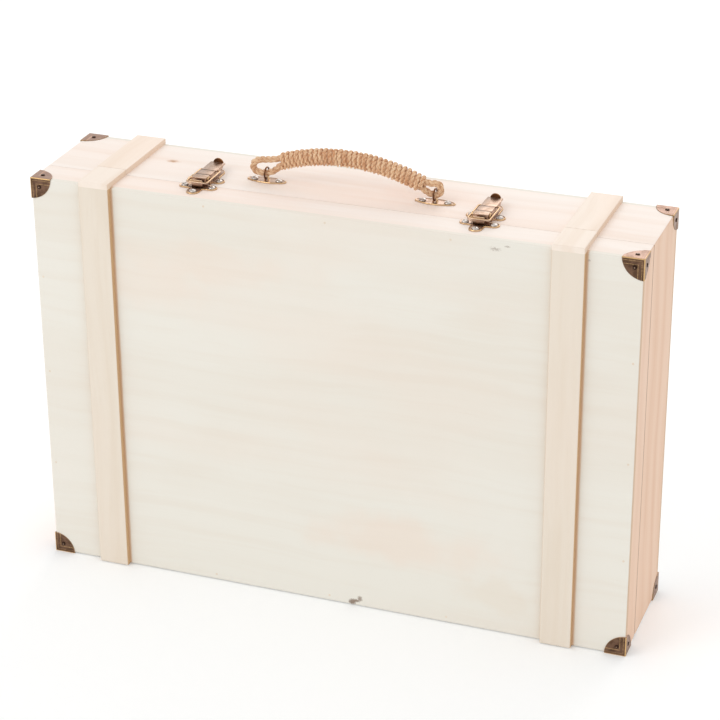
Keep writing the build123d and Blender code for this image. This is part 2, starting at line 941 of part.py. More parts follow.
def grip_line():
    """The arched centre line of the grip, in X and in height above the rings' centres."""
    return ThreePointArc(grip_left, grip_middle, grip_right)


with BuildLine(handle_plane) as grip_path:
    grip_line()
grip_edge = grip_path.edges()[0]

with BuildPart() as grip_binding:
    with BuildSketch(Plane(grip_edge @ 0, z_dir=grip_edge % 0)):
        Circle(binding_radius)
        Circle(core_radius + binding_gap, mode=Mode.SUBTRACT)
    sweep(path=grip_edge)
save(grip_binding, "grip_binding")


def rope_eye(place, reach, clearance):
    """One end of the rope: out of the grip, over its ring, round through it and back."""
    end = grip_edge @ place
    along = (grip_edge % place) * (1 if place else -1)
    lift = Vector(-along.Z, 0, along.X) * (1 if along.X > 0 else -1)
    side = 1 if place else -1
    far_x = side * (handle_plate_offset + reach)
    near_x = side * (handle_plate_offset - eye_inner_reach)
    far_z = ring_z + ring_radius + ring_wire_radius + rope_radius + clearance
    upper = end + lift * strand_offset
    lower = end - lift * strand_offset
    with BuildLine() as eye_path:
        FilletPolyline(
            upper - along * strand_inset,
            upper + along * strand_exit,
            (far_x, handle_y, far_z),
            (far_x, handle_y, ring_z),
            (near_x, handle_y, ring_z),
            lower + along * strand_exit,
            lower - along * strand_inset,
            radius=eye_round,
        )
    wire = eye_path.wires()[0]
    with BuildPart() as eye:
        with BuildSketch(Plane(wire @ 0, z_dir=wire % 0)):
            Circle(rope_radius)
        sweep(path=wire)
    return eye.part


left_eye = rope_eye(0, eye_left_reach, eye_left_clearance)
right_eye = rope_eye(1, eye_right_reach, eye_right_clearance)
with BuildPart() as handle_rope:
    with BuildSketch(Plane(grip_edge @ 0, z_dir=grip_edge % 0)):
        Circle(core_radius)
    sweep(path=grip_edge)
    add(left_eye)
    add(right_eye)
save(handle_rope, "handle_rope")
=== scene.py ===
import logging
import math
import random
from dataclasses import dataclass, field
from enum import Enum
from itertools import product
from typing import Any, Callable, Iterable, Sequence

import bmesh
import bpy
import numpy as np
from mathutils import Matrix, Vector


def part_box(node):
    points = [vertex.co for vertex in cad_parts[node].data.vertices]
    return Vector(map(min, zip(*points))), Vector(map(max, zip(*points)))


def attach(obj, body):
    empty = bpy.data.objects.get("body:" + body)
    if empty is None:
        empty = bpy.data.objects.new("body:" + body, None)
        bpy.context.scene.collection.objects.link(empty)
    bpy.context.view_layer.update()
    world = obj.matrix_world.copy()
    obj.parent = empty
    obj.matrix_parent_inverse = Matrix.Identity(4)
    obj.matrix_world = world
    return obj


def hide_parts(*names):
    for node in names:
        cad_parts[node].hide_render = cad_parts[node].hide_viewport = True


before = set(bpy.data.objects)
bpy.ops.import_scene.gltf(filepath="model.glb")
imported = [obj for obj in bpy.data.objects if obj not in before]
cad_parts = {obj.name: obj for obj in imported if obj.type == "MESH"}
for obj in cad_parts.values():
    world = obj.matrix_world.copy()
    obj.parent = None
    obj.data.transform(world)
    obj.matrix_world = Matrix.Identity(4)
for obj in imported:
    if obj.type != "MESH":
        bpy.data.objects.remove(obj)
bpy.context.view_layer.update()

LOG = logging.getLogger("carrying_case")
MM = 0.001
SHARP_ANGLE = math.radians(38)
BEVEL_ANGLE = math.radians(35)
INSET_SHARE = 2.2

Colour = tuple[float, float, float, float]
Socket = bpy.types.NodeSocket


class Axis(Enum):
    """The direction that the grain or the brushing of a piece runs in."""

    X = (0.0, 0.0, 0.0)
    Y = (0.0, 0.0, -math.pi / 2)
    Z = (0.0, math.pi / 2, 0.0)


class Side(Enum):
    """The left and the right copy of a fitting."""

    LEFT = -1
    RIGHT = 1

    @property
    def word(self) -> str:
        """The side's name as the frame's nodes spell it."""
        return self.name.lower()


def tone(red: int, green: int, blue: int) -> Colour:
    """Turns an 8-bit display colour into the linear colour that shaders use.

    Args:
        red: The red share, 0 to 255.
        green: The green share, 0 to 255.
        blue: The blue share, 0 to 255.

    Returns:
        The linear colour with full alpha.
    """
    shares = [share / 255 for share in (red, green, blue)]
    linear = [s / 12.92 if s <= 0.04045 else ((s + 0.055) / 1.055) ** 2.4 for s in shares]
    return (linear[0], linear[1], linear[2], 1.0)


def smoothstep(low: float, high: float, value: float) -> float:
    """Rises smoothly from 0 at low to 1 at high."""
    share = min(max((value - low) / (high - low), 0.0), 1.0)
    return share * share * (3 - 2 * share)


# ------------------------------------------------------------------ node trees
class Desk:
    """Adds nodes to one node tree and joins them.

    Args:
        tree: The node tree that receives the nodes.
    """

    def __init__(self, tree: bpy.types.NodeTree) -> None:
        """Takes the tree."""
        self.tree = tree

    def put(self, kind: str, inputs: dict[Any, Any] | None = None, **settings: Any) -> bpy.types.Node:
        """Adds one node.

        Args:
            kind: The node's type name.
            inputs: Values or sockets for its inputs, by name or by number.
            **settings: Properties of the node itself.

        Returns:
            The new node.
        """
        node = self.tree.nodes.new(kind)
        for key, value in settings.items():
            setattr(node, key, value)
        for key, value in (inputs or {}).items():
            if isinstance(value, Socket):
                self.tree.links.new(value, node.inputs[key])
            else:
                node.inputs[key].default_value = value
        return node

    def math(self, operation: str, first: Any, second: Any = 0.0, clamp: bool = False) -> Socket:
        """Adds a Math node and returns its result."""
        kind = "ShaderNodeMath"
        return self.put(kind, {0: first, 1: second}, operation=operation, use_clamp=clamp).outputs[0]

    def vector(self, operation: str, first: Any, second: Any = (0.0, 0.0, 0.0)) -> Socket:
        """Adds a Vector Math node and returns its vector."""
        return self.put("ShaderNodeVectorMath", {0: first, 1: second}, operation=operation).outputs[0]

    def scaled(self, vector: Any, factor: Any) -> Socket:
        """Scales a vector by one number."""
        node = self.put("ShaderNodeVectorMath", {0: vector, "Scale": factor}, operation="SCALE")
        return node.outputs[0]

    def mix(self, factor: Any, first: Any, second: Any) -> Socket:
        """Mixes two colours and returns the result."""
        return self.put("ShaderNodeMix", {0: factor, 6: first, 7: second}, data_type="RGBA").outputs[2]

    def ramp(self, value: Any, low: float, high: float, bottom: float = 0.0, top: float = 1.0) -> Socket:
        """Maps a value smoothly from one range to another, clamped at both ends."""
        inputs = {0: value, 1: low, 2: high, 3: bottom, 4: top}
        return self.put("ShaderNodeMapRange", inputs, interpolation_type="SMOOTHSTEP").outputs[0]

    def noise(self, vector: Any, scale: float, detail: float = 3.0, rough: float = 0.5) -> Socket:
        """Adds a noise texture and returns its value."""
        inputs = {"Vector": vector, "Scale": scale, "Detail": detail, "Roughness": rough}
        return self.put("ShaderNodeTexNoise", inputs).outputs[0]

    def group(self, tree: bpy.types.NodeTree, inputs: dict[str, Any]) -> bpy.types.Node:
        """Places a node group with its own values."""
        kind = "GeometryNodeGroup" if tree.bl_idname == "GeometryNodeTree" else "ShaderNodeGroup"
        return self.put(kind, inputs, node_tree=tree)

    def triple(self, first: Any, second: Any, third: Any) -> Socket:
        """Makes a vector of numbers or sockets."""
        return self.put("ShaderNodeCombineXYZ", {0: first, 1: second, 2: third}).outputs[0]

    def join(self, source: Socket, target: Socket) -> None:
        """Links an output to an input."""
        self.tree.links.new(source, target)


SOCKETS = {
    "number": "NodeSocketFloat",
    "count": "NodeSocketInt",
    "vector": "NodeSocketVector",
    "colour": "NodeSocketColor",
    "shape": "NodeSocketGeometry",
    "object": "NodeSocketObject",
    "material": "NodeSocketMaterial",
}


def node_group(
    name: str, kind: str, inputs: dict[str, str], outputs: dict[str, str]
) -> tuple[bpy.types.NodeTree, Desk, bpy.types.Node, bpy.types.Node]:
    """Starts a node group with named inputs and outputs.

    Args:
        name: The group's name.
        kind: ShaderNodeTree or GeometryNodeTree.
        inputs: What each input holds, by its name.
        outputs: What each output holds, by its name.

    Returns:
        The tree, a desk for it, its input node and its output node.
    """
    tree = bpy.data.node_groups.new(name, kind)
    for way, sockets in (("INPUT", inputs), ("OUTPUT", outputs)):
        for title, form in sockets.items():
            tree.interface.new_socket(title, in_out=way, socket_type=SOCKETS[form])
    desk = Desk(tree)
    return tree, desk, desk.put("NodeGroupInput"), desk.put("NodeGroupOutput")


def make_grain_group() -> bpy.types.NodeTree:
    """Builds the wood grain that runs along the X axis of the vector it is given.

    Returns:
        A group with the outputs Color, Height and Roughness.
    """
    tree, desk, given, result = node_group(
        "wood_grain",
        "ShaderNodeTree",
        {
            "Vector": "vector",
            "Light": "colour",
            "Dark": "colour",
            "Cloud": "colour",
            "Contrast": "number",
            "Cloudiness": "number",
        },
        {"Color": "colour", "Height": "number", "Roughness": "number"},
    )
    place = given.outputs["Vector"]
    drift = desk.scaled(desk.put("ShaderNodeTexNoise", {"Vector": place, "Scale": 7.0}).outputs[1], 0.02)
    bent = desk.vector("ADD", place, drift)
    streaks = desk.noise(desk.vector("MULTIPLY", bent, (3.0, 95.0, 95.0)), 1.0, 4.0, 0.6)
    pores = desk.noise(desk.vector("MULTIPLY", place, (40.0, 1500.0, 1500.0)), 1.0, 2.0, 0.5)
    rings = desk.put(
        "ShaderNodeTexWave",
        {
            "Vector": desk.vector("MULTIPLY", bent, (0.9, 11.0, 11.0)),
            "Scale": 1.0,
            "Distortion": 7.0,
            "Detail": 2.0,
            "Detail Scale": 0.8,
        },
        bands_direction="Y",
    ).outputs[1]
    clouds = desk.noise(desk.vector("MULTIPLY", place, (4.0, 9.0, 9.0)), 1.0, 3.0, 0.55)
    late = desk.math("MULTIPLY", desk.ramp(rings, 0.45, 1.0), 0.45)
    fine = desk.math("MULTIPLY", desk.ramp(streaks, 0.4, 0.72), 0.55)
    mask = desk.math("MULTIPLY", desk.math("ADD", late, fine), given.outputs["Contrast"], clamp=True)
    base = desk.mix(mask, given.outputs["Light"], given.outputs["Dark"])
    shade = desk.math("MULTIPLY", desk.ramp(clouds, 0.45, 0.75), given.outputs["Cloudiness"])
    clouded = desk.mix(shade, base, given.outputs["Cloud"])
    pore_mask = desk.math("MULTIPLY", desk.ramp(pores, 0.62, 0.8), 0.16)
    desk.join(desk.mix(pore_mask, clouded, given.outputs["Dark"]), result.inputs["Color"])
    height = desk.math("SUBTRACT", desk.math("MULTIPLY", streaks, 0.6), desk.math("MULTIPLY", pores, 0.4))
    desk.join(height, result.inputs["Height"])
    desk.join(desk.ramp(streaks, 0.3, 0.8, 0.5, 0.66), result.inputs["Roughness"])
    return tree


def make_mark_group() -> bpy.types.NodeTree:
    """Builds the mask of one stain, knot, scuff or chip about a centre.

    Returns:
        A group with the output Mask, 1 at the centre and 0 outside a ragged ellipsoid.
    """
    tree, desk, given, result = node_group(
        "surface_mark",
        "ShaderNodeTree",
        {
            "Vector": "vector",
            "Centre": "vector",
            "Size": "vector",
            "Ragged": "number",
            "Grain": "number",
        },
        {"Mask": "number"},
    )
    place = given.outputs["Vector"]
    offset = desk.vector("SUBTRACT", place, given.outputs["Centre"])
    away = desk.vector("DIVIDE", offset, given.outputs["Size"])
    reach = desk.put("ShaderNodeVectorMath", {0: away}, operation="LENGTH").outputs["Value"]
    patchy = desk.noise(place, given.outputs["Grain"])
    shift = desk.math("MULTIPLY", desk.math("SUBTRACT", patchy, 0.5), given.outputs["Ragged"])
    ragged = desk.math("ADD", reach, desk.math("MULTIPLY", shift, 2.0))
    desk.join(desk.ramp(ragged, 0.25, 1.0, 1.0, 0.0), result.inputs["Mask"])
    return tree


def make_wear_group() -> bpy.types.NodeTree:
    """Builds rubbed-edge wear from the wear stored on a mesh, broken up by noise.

    Returns:
        A group with the outputs Mask, 1 where the edge is rubbed bright, and Patina.
    """
    tree, desk, given, result = node_group(
        "edge_wear",
        "ShaderNodeTree",
        {
            "Vector": "vector",
            "Wear": "number",
            "Breakup": "number",
            "Scale": "number",
        },
        {"Mask": "number", "Patina": "number"},
    )
    place = given.outputs["Vector"]
    speck = desk.noise(place, given.outputs["Scale"], 4.0)
    loss = desk.math("MULTIPLY", desk.math("SUBTRACT", speck, 0.5), given.outputs["Breakup"])
    worn = desk.math("ADD", given.outputs["Wear"], loss)
    desk.join(desk.ramp(worn, 0.35, 0.85), result.inputs["Mask"])
    broad = desk.noise(place, 210.0, 5.0, 0.65)
    desk.join(desk.ramp(broad, 0.38, 0.66), result.inputs["Patina"])
    return tree


def make_fibre_group() -> bpy.types.NodeTree:
    """Builds twisted plant fibre from the length and the roundness stored on a strand, with painted shade in
    the crevices between its fibres.

    Returns:
        A group with the outputs Color and Height.
    """
    tree, desk, given, result = node_group(
        "plant_fibre",
        "ShaderNodeTree",
        {
            "Along": "number",
            "Round": "vector",
            "Light": "colour",
            "Dark": "colour",
            "Twist": "number",
        },
        {"Color": "colour", "Height": "number"},
    )
    along = given.outputs["Along"]
    turn = desk.math("MULTIPLY", along, given.outputs["Twist"])
    spun = desk.put(
        "ShaderNodeVectorRotate", {"Vector": given.outputs["Round"], "Angle": turn}, rotation_type="Z_AXIS"
    ).outputs[0]
    length = desk.triple(0.0, 0.0, desk.math("MULTIPLY", along, 260.0))
    thread = desk.noise(desk.vector("ADD", desk.scaled(spun, 3.2), length), 1.6, 4.0, 0.7)
    patch = desk.triple(0.0, 0.0, desk.math("MULTIPLY", along, 95.0))
    patchy = desk.noise(desk.vector("ADD", desk.scaled(spun, 0.6), patch), 1.0, 2.0)
    # Painted shade: the fibre darkens where the thread noise is high, which is where the bump sinks between
    # fibres; the patchy noise adds tone that differs at random.
    dark = desk.math("ADD", desk.ramp(thread, 0.36, 0.66, 0.0, 0.7), desk.ramp(patchy, 0.35, 0.7, 0.0, 0.45))
    colour = desk.mix(dark, given.outputs["Light"], given.outputs["Dark"])
    desk.join(colour, result.inputs["Color"])
    desk.join(desk.math("SUBTRACT", 1.0, thread), result.inputs["Height"])
    return tree


GRAIN = make_grain_group()
MARK = make_mark_group()
WEAR = make_wear_group()
FIBRE = make_fibre_group()


# -------------------------------------------------------------------- finishes
def blank_material(name: str) -> tuple[bpy.types.Material, Desk, bpy.types.Node]:
    """Starts a material with one Principled shader.

    Args:
        name: The material's name.

    Returns:
        The material, a desk for its tree and the shader node.
    """
    material = bpy.data.materials.new(name)
    material.use_nodes = True
    desk = Desk(material.node_tree)
    return material, desk, material.node_tree.nodes["Principled BSDF"]


@dataclass(frozen=True)
class Mark:
    """A stain, knot, scuff or chip: its centre, its half sizes, its colour and its strength."""

    centre: tuple[float, float, float]
    size: tuple[float, float, float]
    colour: Colour
    strength: float = 0.6
    ragged: float = 0.5
    grain: float = 300.0


@dataclass(frozen=True)
class WoodFinish:
    """Pale bare wood with its growth rings, clouds and marks, and a painted shade on its sides that face
    along X.
    """

    light: Colour
    dark: Colour
    cloud: Colour
    # side and side_strength paint shade: a darker colour on faces that turn along X.
    side: Colour = tone(206, 168, 130)
    contrast: float = 0.5
    cloudiness: float = 0.5
    side_strength: float = 0.0
    bump: float = 0.00006

    def material(self, name: str, axis: Axis, seed: int, marks: Iterable[Mark] = ()) -> bpy.types.Material:
        """Builds the material of one board.

        Args:
            name: The board's name.
            axis: The direction of the grain.
            seed: Moves the pattern, so that no two boards are alike.
            marks: The marks on this board, in the frame.

        Returns:
            The material.
        """
        material, desk, shader = blank_material("wood_" + name)
        coordinates = desk.put("ShaderNodeTexCoord")
        moved = desk.put("ShaderNodeMapping", {"Vector": coordinates.outputs["Object"]})
        moved.inputs["Location"].default_value = (seed * 0.731, seed * 0.417, seed * 0.293)
        moved.inputs["Rotation"].default_value = axis.value
        grain = desk.group(
            GRAIN,
            {
                "Vector": moved.outputs[0],
                "Light": self.light,
                "Dark": self.dark,
                "Cloud": self.cloud,
                "Contrast": self.contrast,
                "Cloudiness": self.cloudiness,
            },
        )
        colour = grain.outputs["Color"]
        # Painted shade: faces that turn along X are mixed towards the side colour.
        parts = desk.put("ShaderNodeSeparateXYZ", {0: coordinates.outputs["Normal"]})
        facing = desk.ramp(desk.math("ABSOLUTE", parts.outputs[0]), 0.6, 0.95)
        colour = desk.mix(desk.math("MULTIPLY", facing, self.side_strength), colour, self.side)
        for mark in marks:
            values = {"Vector": coordinates.outputs["Object"], "Centre": mark.centre, "Size": mark.size}
            mask = desk.group(MARK, values | {"Ragged": mark.ragged, "Grain": mark.grain}).outputs[0]
            colour = desk.mix(desk.math("MULTIPLY", mask, mark.strength), colour, mark.colour)
        desk.join(colour, shader.inputs["Base Color"])
        desk.join(grain.outputs["Roughness"], shader.inputs["Roughness"])
        bump = desk.put("ShaderNodeBump", {"Height": grain.outputs["Height"], "Distance": self.bump})
        desk.join(bump.outputs[0], shader.inputs["Normal"])
        shader.inputs["Specular IOR Level"].default_value = 0.3
        return material


@dataclass(frozen=True)
class MetalFinish:
    """Stamped metal with a dark patina, bright rubbed edges, fine brushing, a painted highlight on its top
    and sides and painted shade where the mesh marks it.
    """

    name: str
    face: Colour
    patina: Colour
    edge: Colour
    roughness: float = 0.38
    patina_share: float = 0.6
    brushing: float = 0.00002
    breakup: float = 0.5
    speckle: float = 900.0
    # crown paints a highlight: a lighter colour on faces that turn up, and less on faces that turn along X;
    # it also holds back the rubbed edges there.
    crown: Colour = tone(194, 162, 146)
    crown_share: float = 0.0
    crown_on_sides: float = 0.72
    crown_over_wear: float = 0.75
    # grime darkens the points that a Solid marks with wear -1.
    grime: Colour = tone(58, 38, 26)
    dull_patina: float = 0.16
    shiny_wear: float = 0.12

    def material(self) -> bpy.types.Material:
        """Finds the material, or builds it the first time that it is asked for.

        Returns:
            The material.
        """
        title = f"finish_{self.name}"
        known = bpy.data.materials.get(title)
        if known is not None:
            return known
        material, desk, shader = blank_material(title)
        coordinates = desk.put("ShaderNodeTexCoord")
        place = coordinates.outputs["Object"]
        stored = desk.put("ShaderNodeAttribute", attribute_name="wear")
        values = {"Wear": stored.outputs["Fac"], "Breakup": self.breakup, "Scale": self.speckle}
        wear = desk.group(WEAR, {"Vector": place} | values)
        aged = desk.math("MULTIPLY", wear.outputs["Patina"], self.patina_share)
        body = desk.mix(aged, self.face, self.patina)
        # Painted highlight: faces that turn up, and partly those that turn along X, are mixed towards crown.
        turned = desk.put("ShaderNodeSeparateXYZ", {0: coordinates.outputs["Normal"]}).outputs
        sideways = desk.math("MULTIPLY", desk.math("ABSOLUTE", turned[0]), self.crown_on_sides)
        lit_facing = desk.math("MAXIMUM", turned[2], sideways)
        crown = desk.math("MULTIPLY", desk.ramp(lit_facing, 0.5, 0.9), self.crown_share)
        body = desk.mix(crown, body, self.crown)
        kept = desk.math("SUBTRACT", 1.0, desk.math("MULTIPLY", crown, self.crown_over_wear))
        body = desk.mix(desk.math("MULTIPLY", wear.outputs["Mask"], kept), body, self.edge)
        # Painted shade: points whose wear is below zero are mixed towards grime.
        shade_mix = desk.ramp(stored.outputs["Fac"], -0.7, -0.1, 1.0, 0.0)
        desk.join(desk.mix(shade_mix, body, self.grime), shader.inputs["Base Color"])
        dull = desk.math("MULTIPLY", wear.outputs["Patina"], self.dull_patina)
        rough = desk.math("ADD", dull, self.roughness)
        rubbed = desk.math("MULTIPLY", wear.outputs["Mask"], -self.shiny_wear)
        desk.join(desk.math("ADD", rough, rubbed), shader.inputs["Roughness"])
        lines = desk.noise(desk.vector("MULTIPLY", place, (300.0, 5200.0, 5200.0)), 1.0, 3.0)
        pits = desk.noise(place, 1400.0, 3.0)
        height = desk.math("ADD", lines, desk.math("MULTIPLY", pits, 0.8))
        bump = desk.put("ShaderNodeBump", {"Height": height, "Distance": self.brushing})
        desk.join(bump.outputs[0], shader.inputs["Normal"])
        shader.inputs["Metallic"].default_value = 1.0
        return material


@dataclass(frozen=True)
class JuteFinish:
    """Twisted jute, shaded along its own strands."""

    name: str
    light: Colour
    dark: Colour
    twist: float = 900.0
    bump: float = 0.00018

    def material(self) -> bpy.types.Material:
        """Finds the material, or builds it the first time that it is asked for.

        Returns:
            The material.
        """
        title = f"finish_{self.name}"
        known = bpy.data.materials.get(title)
        if known is not None:
            return known
        material, desk, shader = blank_material(title)
        along = desk.put("ShaderNodeAttribute", attribute_name="along").outputs["Fac"]
        around = desk.put("ShaderNodeAttribute", attribute_name="around").outputs["Vector"]
        fibre = desk.group(
            FIBRE,
            {"Along": along, "Round": around, "Light": self.light, "Dark": self.dark, "Twist": self.twist},
        )
        desk.join(fibre.outputs["Color"], shader.inputs["Base Color"])
        bump = desk.put("ShaderNodeBump", {"Height": fibre.outputs["Height"], "Distance": self.bump})
        desk.join(bump.outputs[0], shader.inputs["Normal"])
        shader.inputs["Roughness"].default_value = 0.82
        shader.inputs["Specular IOR Level"].default_value = 0.25
        shader.inputs["Sheen Weight"].default_value = 0.25
        shader.inputs["Sheen Roughness"].default_value = 0.5
        return material


# The panels' sides that face along X get a tan painted shade.
PANEL_WOOD = WoodFinish(
    light=tone(234, 230, 220),
    dark=tone(224, 211, 194),
    cloud=tone(237, 220, 205),
    contrast=0.34,
    cloudiness=0.4,
    side_strength=0.85,
)
RAIL_WOOD = WoodFinish(
    light=tone(246, 236, 228),
    dark=tone(234, 212, 194),
    cloud=tone(248, 226, 213),
    contrast=0.45,
)
END_WOOD = WoodFinish(
    light=tone(236, 203, 178),
    dark=tone(222, 180, 148),
    cloud=tone(240, 208, 187),
    contrast=0.55,
)
# The battens' sides that face along X get a tan painted shade.
BATTEN_WOOD = WoodFinish(
    light=tone(232, 221, 206),
    dark=tone(215, 197, 173),
    cloud=tone(235, 219, 203),
    side=tone(205, 164, 116),
    cloudiness=0.4,
    side_strength=0.9,
)
# The top battens' sides that face along X get a peach painted shade.
TOP_BATTEN_WOOD = WoodFinish(
    light=tone(244, 231, 218),
    dark=tone(230, 208, 186),
    cloud=tone(249, 228, 212),
    side=tone(226, 192, 160),
    side_strength=0.5,
)
FILLER_WOOD = WoodFinish(
    light=tone(232, 220, 203),
    dark=tone(214, 194, 168),
    cloud=tone(228, 206, 184),
)
# The protectors carry a strong painted highlight on their tops.
AGED_BRONZE = MetalFinish(
    "aged_bronze",
    tone(122, 94, 76),
    tone(84, 62, 48),
    tone(214, 176, 122),
    roughness=0.36,
    patina_share=0.75,
    crown_share=0.75,
)
LATCH_BRONZE = MetalFinish(
    "latch_bronze",
    tone(206, 178, 160),
    tone(164, 134, 108),
    tone(214, 178, 132),
    roughness=0.3,
    patina_share=0.55,
)
TAB_BRONZE = MetalFinish(
    "dark_bronze", tone(104, 72, 48), tone(72, 46, 30), tone(150, 104, 62), roughness=0.4, patina_share=0.6
)
RING_BRONZE = MetalFinish(
    "ring_bronze", tone(110, 76, 56), tone(66, 42, 30), tone(178, 126, 84), roughness=0.3, patina_share=0.6
)
HINGE_BRASS = MetalFinish(
    "hinge_brass",
    tone(206, 172, 106),
    tone(160, 124, 70),
    tone(230, 200, 140),
    roughness=0.32,
    patina_share=0.4,
)
NICKEL = MetalFinish(
    "nickel_screw",
    tone(212, 204, 198),
    tone(146, 134, 124),
    tone(240, 234, 228),
    roughness=0.2,
    patina_share=0.35,
)
NAIL_BRONZE = MetalFinish(
    "nail_bronze", tone(74, 54, 44), tone(42, 28, 22), tone(150, 128, 110), roughness=0.26, patina_share=0.6
)
STEEL = MetalFinish(
    "plain_steel",
    tone(176, 174, 172),
    tone(120, 118, 116),
    tone(220, 220, 220),
    roughness=0.3,
    patina_share=0.4,
)
JUTE_TWINE = JuteFinish("jute_twine", tone(254, 226, 188), tone(190, 122, 72))
JUTE_ROPE = JuteFinish("jute_rope", tone(252, 222, 184), tone(176, 114, 68), twist=700.0)


# ---------------------------------------------------------------- piece making
def finish_piece(
    name: str, mesh: bpy.types.Mesh, body: str, material: bpy.types.Material, nodes: Sequence[str]
) -> bpy.types.Object:
    """Makes a mesh a finished piece that rides on its body.

    Args:
        name: The piece's name.
        mesh: The mesh, in the frame.
        body: The body that it rides on.
        material: The material that dresses it.
        nodes: The frame's nodes that it stands for.

    Returns:
        The piece.
    """
    mesh.name = name
    mesh.materials.clear()
    mesh.materials.append(material)
    mesh.shade_smooth()
    mesh.set_sharp_from_angle(angle=SHARP_ANGLE)
    piece = bpy.data.objects.new(name, mesh)
    bpy.context.scene.collection.objects.link(piece)
    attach(piece, body)
    if nodes:
        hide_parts(*nodes)
    LOG.info("%s: %d faces on %s", name, len(mesh.polygons), body)
    return piece


def dress(node: str, material: bpy.types.Material) -> None:
    """Gives a node of the frame a better material.

    Args:
        node: The node's name.
        material: The material.
    """
    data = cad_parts[node].data
    data.materials.clear()
    data.materials.append(material)


class Solid:
    """A mesh in the making, with the wear of its points.

    Each point is kept in the frame, in metres. Wear runs from 0 to 1, and is -1 where painted shade lies.
    """

    def __init__(self) -> None:
        """Starts an empty mesh."""
        self.work = bmesh.new()
        self.wear = self.work.verts.layers.float.new("wear")

    def point(self, place: Sequence[float], wear: float = 0.0) -> bmesh.types.BMVert:
        """Adds a point.

        Args:
            place: Where it lies.
            wear: Its wear.

        Returns:
            The point.
        """
        made = self.work.verts.new(place)
        made[self.wear] = wear
        return made

    def loft(self, rings: Sequence[Sequence[bmesh.types.BMVert]], closed: bool = True) -> None:
        """Joins rows of points with quads.

        Args:
            rings: The rows, all of one length.
            closed: Whether each row returns to its start.
        """
        for low, high in zip(rings, rings[1:]):
            count = len(low)
            for index in range(count if closed else count - 1):
                after = (index + 1) % count
                self.work.faces.new((low[index], low[after], high[after], high[index]))

    def fan(self, ring: Sequence[bmesh.types.BMVert], centre: bmesh.types.BMVert, flip: bool = False) -> None:
        """Closes a ring of points.

        Args:
            ring: The points in order.
            centre: The point that closes it.
            flip: Whether the faces turn the other way.
        """
        for index, corner in enumerate(ring):
            after = ring[(index + 1) % len(ring)]
            self.work.faces.new((after, corner, centre) if flip else (corner, after, centre))

    def fan_open(self, row: Sequence[bmesh.types.BMVert], centre: bmesh.types.BMVert) -> None:
        """Joins an open row of points to one centre."""
        for before, after in zip(row, row[1:]):
            self.work.faces.new((before, after, centre))

    def prism(self, outline: Sequence[Vector], span: Vector, bevel: float, edge_wear: float = 1.0) -> None:
        """Adds a flat outline drawn out along a vector, with its sharp edges rounded.

        Args:
            outline: The corners of the outline, in order.
            span: The vector from the first face to the second.
            bevel: The size of the rounded edges.
            edge_wear: The wear of the rounded edges.
        """
        part = bmesh.new()
        wear = part.verts.layers.float.new("wear")
        low = [part.verts.new(corner) for corner in outline]
        high = [part.verts.new(corner + span) for corner in outline]
        faces = [part.faces.new(low), part.faces.new(list(reversed(high)))]
        for index in range(len(low)):
            after = (index + 1) % len(low)
            part.faces.new((low[after], low[index], high[index], high[after]))
        bmesh.ops.recalc_face_normals(part, faces=part.faces)
        bmesh.ops.inset_individual(part, faces=faces, thickness=bevel * INSET_SHARE)
        sharp = [e for e in part.edges if len(e.link_faces) == 2 and e.calc_face_angle() > BEVEL_ANGLE]
        for edge in sharp:
            for corner in edge.verts:
                corner[wear] = edge_wear
        bmesh.ops.bevel(
            part, geom=sharp, offset=bevel, segments=2, profile=0.5, affect="EDGES", clamp_overlap=True
        )
        copy = bpy.data.meshes.new("part")
        part.to_mesh(copy)
        part.free()
        self.work.from_mesh(copy)
        bpy.data.meshes.remove(copy)

    def soil(self, low: Vector, high: Vector) -> None:
        """Marks the points inside a box for painted shade.

        Args:
            low: The box's low corner.
            high: Its high corner.
        """
        for point in self.work.verts:
            if all(a <= value <= b for a, value, b in zip(low, point.co, high)):
                point[self.wear] = -1.0

    def tube(self, path: Sequence[Vector], radius: float, sides: int = 12, closed: bool = False) -> None:
        """Adds a round wire along a path.

        Args:
            path: The points of the centre line.
            radius: The wire's radius.
            sides: The number of sides of its section.
            closed: Whether the path returns to its start.
        """
        count = len(path)
        rings = []
        normal = None
        for index, place in enumerate(path):
            before = path[index - 1] if index or closed else path[0]
            after = path[(index + 1) % count] if index < count - 1 or closed else path[-1]
            along = (after - before).normalized()
            if normal is None:
                normal = along.orthogonal().normalized()
            normal = (normal - along * normal.dot(along)).normalized()
            across = along.cross(normal)
            ring = []
            for step in range(sides):
                angle = 2 * math.pi * step / sides
                spoke = normal * math.cos(angle) + across * math.sin(angle)
                ring.append(self.point(place + spoke * radius, 0.25 + 0.5 * max(0.0, spoke.z)))
            rings.append(ring)
        self.loft(rings + ([rings[0]] if closed else []))
        if not closed:
            self.fan(rings[0], self.point(path[0]), flip=True)
            self.fan(rings[-1], self.point(path[-1]))

    def mesh(self, weld: float = 1e-7) -> bpy.types.Mesh:
        """Welds what coincides and turns the faces outwards.

        Args:
            weld: How close two points are welded.

        Returns:
            The finished mesh.
        """
        bmesh.ops.remove_doubles(self.work, verts=self.work.verts, dist=weld)
        bmesh.ops.dissolve_degenerate(self.work, edges=self.work.edges, dist=weld)
        bmesh.ops.recalc_face_normals(self.work, faces=self.work.faces)
        mesh = bpy.data.meshes.new("piece")
        self.work.to_mesh(mesh)
        self.work.free()
        return mesh


